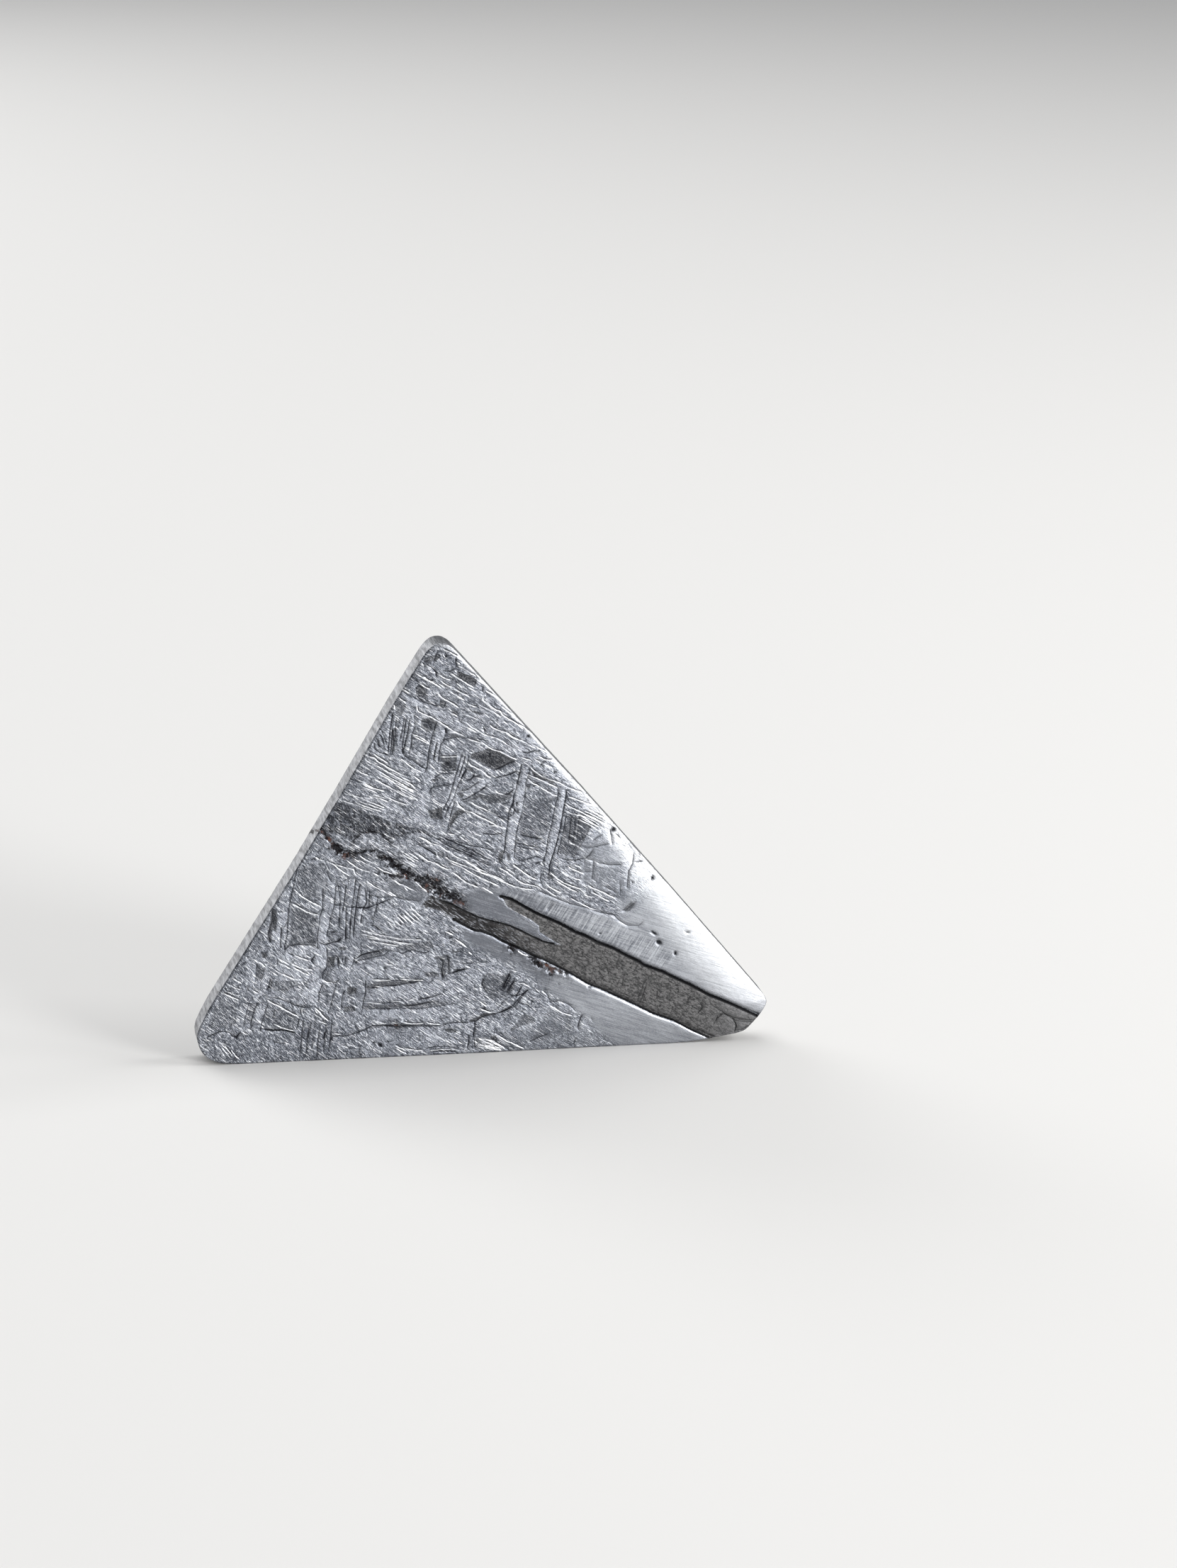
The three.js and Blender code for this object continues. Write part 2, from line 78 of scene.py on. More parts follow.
# Lines etched along the bars. A rim is a ledge that faces up and to the right, so its points run
# from left to right, and is drawn as a painted highlight with painted shade above it; a seam is a groove,
# drawn as painted shade.
rims = {
    "rise": 0.05,
    "ledgeAt": -0.06,   # the ledge stands just below the line, with a dip just above it
    "dipAt": 0.13,
    "dipShare": 0.9,
    "spread": 0.11,
    "lines": [
        # apex
        [(-4.79, 43.8), (-4.5, 43.3), (-4.2, 43.3)],
        [(-6.85, 41.45), (-6.0, 40.8), (-5.3, 40.4), (-4.9, 40.05)],
        [(-7.5, 42.7), (-7.3, 42.4)],
        [(-7.0, 42.85), (-6.7, 42.5)],
        [(-6.6, 42.6), (-5.85, 42.2)],
        [(-7.2, 42.2), (-6.7, 41.85)],
        [(-9.1, 40.15), (-8.6, 39.85), (-8.2, 39.6)],
        [(-8.9, 40.4), (-8.5, 40.1)],
        [(-5.3, 38.25), (-4.85, 37.95)],
        [(-6.2, 42.0), (-5.7, 41.75)],
        [(-3.4, 42.9), (-2.9, 42.5)],
        [(-4.9, 44.3), (-4.2, 44.0), (-3.2, 43.4)],
        [(-5.25, 41.6), (-4.5, 41.1), (-3.9, 40.9)],
        [(-5.0, 40.9), (-4.4, 40.4), (-3.7, 40.1)],
        [(-4.0, 41.7), (-3.0, 41.0), (-2.1, 40.4), (-1.4, 40.0)],
        [(-7.75, 41.9), (-7.0, 41.4), (-6.4, 41.0), (-5.6, 40.75)],
        [(-7.1, 40.6), (-6.6, 40.25), (-6.1, 40.0)],
        [(-5.3, 39.5), (-4.9, 39.1), (-4.25, 38.7), (-3.6, 38.3), (-3.1, 37.9)],
        [(-3.75, 40.1), (-3.0, 39.6), (-2.25, 39.25), (-1.75, 38.9)],
        [(-4.0, 39.7), (-3.25, 39.2), (-2.5, 38.7)],
        [(-3.2, 42.4), (-2.3, 41.9), (-1.2, 41.2)],
        [(-9.5, 39.3), (-9.0, 38.9), (-8.6, 38.7)],
        # right of the apex
        [(3.4, 32.4), (4.4, 32.0)],
        [(3.1, 31.0), (3.5, 30.85)],
        [(4.1, 30.5), (5.3, 30.0), (6.2, 29.5), (7.4, 28.9)],
        [(4.9, 33.6), (5.6, 33.1), (6.2, 32.8)],
        [(1.4, 37.9), (2.0, 37.4), (2.6, 36.9)],
        [(-1.9, 38.2), (-1.2, 37.9)],
        [(2.0, 34.9), (2.9, 34.4), (3.7, 34.1)],
        [(-2.0, 33.15), (-1.6, 32.95)],
        [(-0.6, 39.0), (-0.5, 38.6), (0.0, 38.3), (0.5, 37.75), (1.25, 37.4), (1.5, 37.0), (2.4, 36.4),
         (3.0, 36.0), (3.75, 35.6), (4.4, 35.1)],
        [(-0.75, 38.0), (0.0, 37.7), (0.75, 37.25), (1.4, 36.75)],
        [(-0.3, 39.7), (0.3, 39.3), (0.9, 38.9)],
        [(-2.4, 37.25), (-1.75, 36.9), (-1.1, 36.6)],
        [(-2.4, 36.5), (-1.9, 35.9), (-1.25, 35.5), (-0.5, 35.0), (0.0, 34.8), (1.0, 34.5), (1.75, 34.0),
         (2.4, 33.5), (3.1, 33.1)],
        [(-2.3, 35.9), (-1.7, 35.5), (-1.2, 35.2)],
        [(0.1, 36.0), (0.6, 35.6), (1.25, 35.3), (1.9, 35.1), (2.4, 34.75), (3.25, 34.25), (4.0, 33.9),
         (4.6, 33.5), (5.1, 33.25)],
        [(-2.25, 34.6), (-1.25, 34.25), (-0.5, 34.0), (0.0, 33.6), (0.5, 33.3), (1.25, 33.1), (2.1, 32.6),
         (3.1, 32.1)],
        [(-4.0, 37.4), (-3.5, 37.2), (-3.1, 36.9)],
        [(4.75, 32.25), (5.5, 31.75), (6.5, 31.25), (7.0, 31.0)],
        [(5.25, 32.5), (6.0, 32.0), (6.9, 31.9)],
        [(4.5, 31.25), (5.0, 30.75), (5.75, 30.2), (6.6, 29.8), (7.5, 29.5), (8.25, 29.0), (9.1, 28.6),
         (10.0, 28.25)],
        [(4.1, 30.1), (4.6, 29.6), (5.25, 29.25), (6.0, 28.75), (6.75, 28.25), (7.4, 28.0)],
        [(8.5, 27.9), (9.3, 27.6), (10.4, 27.1), (11.1, 26.8)],
        [(8.1, 27.25), (8.75, 26.75), (9.5, 26.4), (10.4, 25.9), (11.25, 25.5), (12.5, 24.7)],
        [(8.25, 26.4), (9.0, 26.0), (10.0, 25.75), (11.0, 25.0), (11.9, 24.4)],
        [(10.4, 26.7), (11.2, 26.1), (12.4, 25.4)],
        # left shoulder
        [(-10.0, 38.7), (-9.75, 38.0)],
        [(-7.8, 35.0), (-7.0, 34.6), (-6.05, 34.05)],
        [(-12.9, 32.4), (-11.9, 31.7), (-10.6, 30.8), (-9.0, 29.9), (-7.8, 29.0)],
        [(-12.1, 33.3), (-11.2, 32.7), (-10.5, 32.2)],
        [(-9.9, 36.3), (-9.4, 35.8)],
        [(-9.8, 37.1), (-9.4, 36.7)],
        [(-5.9, 30.2), (-5.55, 29.95)],
        [(-5.2, 31.2), (-4.4, 31.05)],
        [(-7.5, 38.4), (-7.4, 37.75), (-6.9, 37.4), (-6.1, 37.1), (-5.6, 36.75), (-5.0, 36.4),
         (-4.4, 36.0), (-3.75, 35.5), (-3.0, 35.1), (-2.4, 34.8)],
        [(-8.0, 35.3), (-7.1, 34.9), (-6.1, 34.2)],
        [(-9.25, 32.75), (-8.5, 32.1), (-7.75, 31.5), (-6.9, 31.1)],
        [(-13.1, 33.4), (-12.5, 33.0), (-12.0, 32.9), (-11.5, 32.4), (-11.0, 32.1), (-10.25, 31.6),
         (-9.25, 31.0), (-8.5, 30.7)],
        [(-13.1, 32.9), (-12.5, 32.4), (-11.5, 31.9), (-10.5, 31.25), (-9.25, 30.5), (-8.25, 30.0),
         (-7.6, 29.4)],
        [(-12.0, 30.6), (-11.0, 30.0), (-10.0, 29.4), (-9.0, 28.75), (-7.6, 28.25)],
        [(-14.0, 31.75), (-13.25, 31.25), (-12.6, 31.0)],
        [(-14.9, 29.1), (-13.6, 28.7), (-12.4, 28.1), (-10.8, 27.4)],
        [(-13.2, 30.2), (-12.0, 29.6), (-10.9, 29.2)],
        [(-11.5, 31.1), (-10.4, 30.5), (-9.6, 29.9)],
        [(-10.9, 28.7), (-9.7, 28.1), (-8.4, 27.6)],
        [(-5.1, 32.75), (-4.25, 32.7), (-3.1, 32.7)],
        [(-8.0, 30.9), (-7.5, 30.5), (-7.1, 30.1)],
        # middle
        [(-1.9, 21.0), (-1.2, 20.45), (-0.6, 20.0), (0.2, 19.75), (1.0, 19.4), (1.9, 18.9)],
        [(-2.4, 21.2), (-1.5, 20.8), (-0.8, 20.3), (0.0, 19.95)],
        [(-9.65, 19.25), (-8.8, 18.85), (-8.2, 18.5), (-7.6, 18.2)],
        [(-2.9, 16.2), (-2.1, 15.7)],
        [(2.3, 16.0), (3.1, 15.55), (4.2, 14.85)],
        [(-5.5, 22.4), (-5.3, 21.9), (-5.0, 21.7)],
        [(-1.8, 18.8), (-0.95, 18.35)],
        [(-8.2, 16.7), (-8.0, 16.2)],
        [(-7.4, 24.2), (-6.6, 23.8), (-5.9, 23.3)],
        [(0.1, 25.1), (0.9, 25.0)],
        [(5.7, 20.9), (5.9, 20.5)],
        [(-4.3, 24.4), (-3.5, 24.2)],
        [(-3.4, 28.0), (-3.0, 27.3), (-2.5, 26.85), (-1.75, 26.6), (-1.4, 26.4), (-0.75, 26.0),
         (0.25, 25.5), (1.0, 25.0), (2.0, 24.6)],
        [(-1.9, 27.8), (-1.25, 27.3), (-0.4, 26.9), (0.5, 26.4), (1.1, 26.1)],
        [(-2.1, 32.1), (-1.9, 31.75), (-1.25, 31.4), (-0.6, 31.0), (0.0, 30.45), (0.4, 30.25)],
        [(-2.0, 32.5), (-1.25, 32.0), (-0.5, 31.5), (0.25, 31.1)],
        [(-1.3, 30.4), (-0.7, 30.2), (-0.2, 30.15)],
        [(-1.0, 28.75), (-0.6, 28.6), (-0.25, 28.45)],
        [(0.7, 28.85), (1.1, 28.55), (1.7, 28.4)],
        [(-1.6, 24.5), (-1.3, 24.2), (-0.6, 24.0)],
        [(-3.0, 24.1), (-2.6, 23.7), (-2.1, 23.4)],
        [(-6.0, 23.4), (-5.1, 23.1), (-4.6, 22.7), (-4.0, 22.25), (-3.25, 21.75), (-2.5, 21.4),
         (-1.75, 21.0), (-1.0, 20.75)],
        [(-4.6, 21.9), (-3.9, 21.4), (-3.0, 21.0), (-2.0, 20.6), (-1.25, 20.25), (-0.1, 19.75),
         (1.0, 19.25), (1.9, 18.75), (3.0, 18.25), (4.0, 18.0), (4.9, 17.9)],
        [(-4.0, 21.25), (-2.5, 20.5), (-1.6, 19.9), (-0.75, 19.4), (0.25, 18.9), (1.25, 18.4)],
        [(-7.9, 22.6), (-7.0, 22.0), (-6.4, 21.5), (-5.5, 21.2), (-4.9, 20.75), (-4.1, 20.4)],
        [(-3.9, 20.2), (-3.25, 19.75), (-2.5, 19.1), (-2.0, 18.8), (-1.1, 18.4)],
        [(-0.75, 18.5), (0.0, 18.0), (0.6, 17.6)],
        [(-5.0, 18.5), (-4.6, 18.1), (-4.2, 17.6)],
        # between the bars and the swath
        [(1.1, 20.5), (2.1, 19.9), (3.0, 19.1), (3.75, 18.6), (4.6, 18.4), (5.3, 18.2)],
        [(2.6, 20.75), (3.1, 20.4), (3.9, 19.75), (4.6, 19.25), (5.3, 18.9)],
        [(6.1, 18.6), (6.6, 18.1), (7.25, 17.7), (7.9, 17.4)],
        [(6.1, 17.9), (6.75, 17.4), (7.4, 17.0)],
        [(6.6, 19.75), (7.0, 19.4), (7.4, 19.0), (8.1, 18.5), (9.0, 18.1), (9.9, 17.75)],
        [(7.25, 18.8), (8.0, 18.3), (8.75, 17.8), (9.6, 17.4)],
        [(7.7, 19.9), (8.25, 19.5), (9.1, 19.0), (10.0, 18.7)],
        [(8.5, 20.4), (8.75, 20.1), (9.4, 19.8), (10.25, 19.4)],
        [(9.1, 20.5), (10.0, 20.1)],
        [(10.5, 18.2), (11.25, 17.8), (12.1, 17.4), (13.0, 16.9), (13.75, 16.5)],
        [(11.0, 17.4), (11.75, 17.0), (12.5, 16.5), (13.0, 16.25)],
        [(10.25, 17.2), (10.75, 16.9), (11.25, 16.75)],
        [(8.8, 16.8), (9.5, 16.4), (10.4, 15.9), (11.1, 15.5), (11.75, 15.35)],
        [(11.0, 18.75), (11.6, 18.4)],
        # left of the vein
        [(-13.6, 22.4), (-12.8, 21.8), (-12.0, 21.4)],
        [(-14.3, 22.2), (-13.5, 21.6)],
        [(-10.7, 18.4), (-9.6, 17.7)],
        [(-13.4, 14.2), (-11.5, 13.6), (-9.5, 13.1), (-7.0, 12.85)],
        [(-13.5, 13.8), (-11.8, 13.3), (-9.0, 12.6)],
        [(-12.9, 13.4), (-10.5, 12.9), (-8.0, 12.4)],
        [(-12.2, 12.9), (-9.5, 12.3)],
        [(-17.1, 21.9), (-16.25, 21.5), (-15.75, 21.0), (-15.1, 20.5), (-14.6, 20.2)],
        [(-16.1, 21.5), (-15.0, 21.1), (-14.25, 20.9), (-13.9, 20.1)],
        [(-14.9, 21.9), (-14.1, 21.25), (-13.25, 20.75), (-12.4, 20.5)],
        [(-13.75, 21.9), (-13.0, 21.5), (-12.25, 21.1)],
        [(-11.75, 21.1), (-11.1, 20.6), (-10.1, 20.2)],
        [(-12.25, 20.5), (-11.5, 20.0)],
        [(-12.9, 19.6), (-12.0, 18.9), (-11.1, 18.4), (-10.0, 17.8)],
        [(-10.0, 19.6), (-9.25, 18.95)],
        [(-8.9, 18.75), (-8.4, 18.25)],
        [(-7.75, 19.4), (-7.0, 18.6), (-6.3, 18.0)],
        [(-20.5, 19.0), (-19.6, 18.1), (-18.5, 17.4), (-17.6, 16.9)],
        [(-20.7, 17.4), (-20.0, 17.0), (-19.25, 16.5), (-18.5, 16.2), (-17.8, 16.0)],
        [(-18.3, 22.4), (-17.6, 22.0), (-17.2, 21.9)],
        # lower left
        [(-28.0, 7.95), (-27.1, 7.45), (-26.3, 7.05)],
        [(-19.8, 8.9), (-19.5, 8.4)],
        [(-19.4, 8.25), (-19.1, 7.9)],
        [(-18.4, 5.75), (-18.05, 5.15)],
        [(-18.2, 4.5), (-17.1, 4.0)],
        [(-15.7, 1.55), (-14.8, 1.25)],
        [(-28.95, 2.2), (-28.65, 1.8)],
        [(-27.9, 1.45), (-27.45, 1.2)],
        [(-26.85, 1.0), (-26.4, 0.6)],
        [(-22.25, 11.45), (-21.75, 11.2), (-21.1, 10.75)],
        [(-22.25, 11.05), (-21.6, 10.7), (-20.9, 10.25)],
        [(-20.9, 10.9), (-20.4, 10.6), (-19.7, 10.25), (-19.0, 10.0)],
        [(-20.7, 10.45), (-20.0, 10.05), (-19.4, 9.7), (-18.9, 9.4)],
        [(-20.5, 11.75), (-19.75, 11.4), (-18.9, 11.05)],
        [(-19.4, 11.75), (-18.75, 11.4)],
        [(-22.6, 10.25), (-22.1, 9.9), (-21.5, 9.6), (-20.75, 9.2), (-20.0, 9.0)],
        [(-24.25, 11.2), (-23.9, 10.9), (-23.5, 10.5)],
        [(-25.0, 8.1), (-24.3, 7.7)],
        [(-27.1, 9.5), (-26.5, 9.2), (-26.1, 8.9)],
        [(-27.6, 9.0), (-26.9, 8.5), (-26.1, 8.2)],
        [(-27.6, 8.1), (-27.0, 7.75), (-26.25, 7.6)],
        [(-28.1, 8.0), (-27.5, 7.65), (-26.9, 7.25)],
        [(-23.4, 7.0), (-22.9, 6.6), (-22.1, 6.2), (-21.4, 5.7), (-20.75, 5.3), (-20.1, 5.0)],
        [(-22.75, 4.3), (-22.0, 3.9), (-21.25, 3.6), (-20.5, 3.4)],
        [(-18.75, 4.9), (-18.25, 4.4)],
        [(-18.4, 5.9), (-17.75, 5.25), (-17.25, 4.5)],
        [(-18.1, 5.6), (-17.4, 4.8), (-16.9, 4.3)],
        [(-21.75, 2.25), (-21.0, 1.9)],
        [(-26.1, 3.6), (-25.6, 3.2)],
        [(-25.5, 3.9), (-25.0, 3.5)],
        [(-30.0, 2.95), (-29.5, 2.75)],
        [(-17.6, 8.9), (-17.0, 8.6), (-16.4, 8.55)],
        [(-25.6, 0.35), (-25.1, 0.15)],
        [(-24.4, 0.35), (-23.9, 0.15)],
        # lower middle
        [(-1.55, 7.3), (-1.1, 7.1)],
        [(-0.9, 7.35), (-0.55, 7.05)],
        [(-0.9, 5.8), (-0.1, 5.2)],
        [(7.45, 5.45), (8.2, 5.15)],
        [(5.9, 6.65), (6.2, 6.2)],
        [(3.7, 7.65), (4.45, 7.2)],
        [(3.2, 7.6), (3.9, 7.55)],
        [(3.1, 11.3), (3.8, 10.8), (4.4, 10.6)],
        [(-12.4, 8.7), (-11.4, 8.6), (-10.5, 8.6)],
        [(-10.25, 9.25), (-9.4, 9.15)],
        [(-12.0, 7.95), (-11.05, 7.8)],
        [(-8.55, 6.2), (-7.85, 6.35)],
        [(-0.85, 5.0), (-0.35, 4.75), (0.5, 4.45)],
        [(-9.65, 1.1), (-9.15, 0.9), (-8.7, 0.65)],
        [(-5.25, 1.3), (-4.9, 1.05)],
        [(-3.2, 1.4), (-2.6, 1.1)],
        [(-0.95, 1.6), (0.0, 1.5), (0.85, 1.0), (1.55, 0.5)],
        [(-1.3, 1.05), (-0.1, 0.75), (0.85, 0.4), (1.55, 0.2)],
        [(-14.3, 6.0), (-13.9, 5.6)],
        [(-3.95, 10.45), (-3.5, 10.1)],
        [(-2.1, 11.35), (-1.65, 11.0)],
        [(-4.9, 10.7), (-4.5, 10.65)],
        [(-9.25, 8.62), (-8.5, 8.5), (-7.5, 8.42), (-6.8, 8.4)],
        [(-12.0, 8.5), (-11.0, 8.5), (-10.2, 8.6)],
        [(-13.0, 6.2), (-12.25, 6.1), (-11.25, 6.0)],
        [(-10.25, 6.2), (-9.6, 6.2), (-9.0, 6.0)],
        [(-11.9, 4.1), (-11.25, 3.82), (-10.75, 3.78)],
        [(-10.2, 3.9), (-9.6, 3.7)],
        [(-9.0, 3.85), (-8.1, 3.62), (-7.5, 3.6), (-6.8, 3.65)],
        [(-6.6, 3.75), (-6.0, 3.52), (-5.0, 3.4)],
        [(-16.4, 2.95), (-15.7, 2.8)],
        [(-8.9, 0.95), (-8.25, 0.75), (-7.5, 0.62), (-6.9, 0.6)],
        [(-6.25, 0.5), (-5.0, 0.6), (-3.75, 0.6), (-3.0, 0.4)],
        [(-9.75, 1.0), (-9.25, 0.6), (-8.75, 0.32), (-8.5, 0.12)],
        [(-9.9, 1.3), (-9.4, 1.0)],
        [(-4.5, 13.7), (-4.0, 13.45), (-3.6, 13.2)],
        [(-3.6, 12.9), (-2.9, 12.4), (-2.1, 11.7)],
        [(-2.3, 9.75), (-1.75, 9.5)],
        [(-6.4, 9.25), (-6.0, 8.9)],
        [(-0.9, 5.05), (-0.4, 4.8), (0.5, 4.4)],
        [(0.75, 2.1), (1.4, 1.7), (2.0, 1.25), (2.75, 0.9), (3.5, 0.45), (4.1, 0.15)],
        [(6.6, 5.0), (7.25, 4.6), (8.0, 4.1), (9.1, 3.7)],
        [(1.0, 10.0), (1.6, 9.65)],
        [(2.6, 9.1), (3.2, 8.85)],
        [(-15.0, 1.7), (-14.2, 1.4)],
        [(-1.6, 1.5), (-0.8, 1.0), (0.2, 0.5)],
        [(-1.0, 1.7), (0.2, 1.0), (1.3, 0.4)],
        [(-0.6, 1.75), (0.6, 1.3), (1.6, 0.6), (2.0, 0.2)],
        # upper middle and left bars
        [(-3.0, 28.95), (-2.7, 28.9), (-2.5, 28.95)],
        [(-24.1, 4.2), (-23.7, 3.8)],
        [(-20.4, 8.15), (-20.1, 8.0), (-19.8, 7.95)],
        [(-19.4, 10.25), (-18.5, 10.0)],
        [(-19.75, 5.9), (-19.75, 5.3)],
        [(-22.9, 12.0), (-22.5, 11.7)],
        [(-13.6, 19.95), (-13.2, 19.75)],
        [(-14.05, 19.9), (-14.1, 19.4)],
        [(-15.25, 16.95), (-15.05, 16.65)],
    ],
}

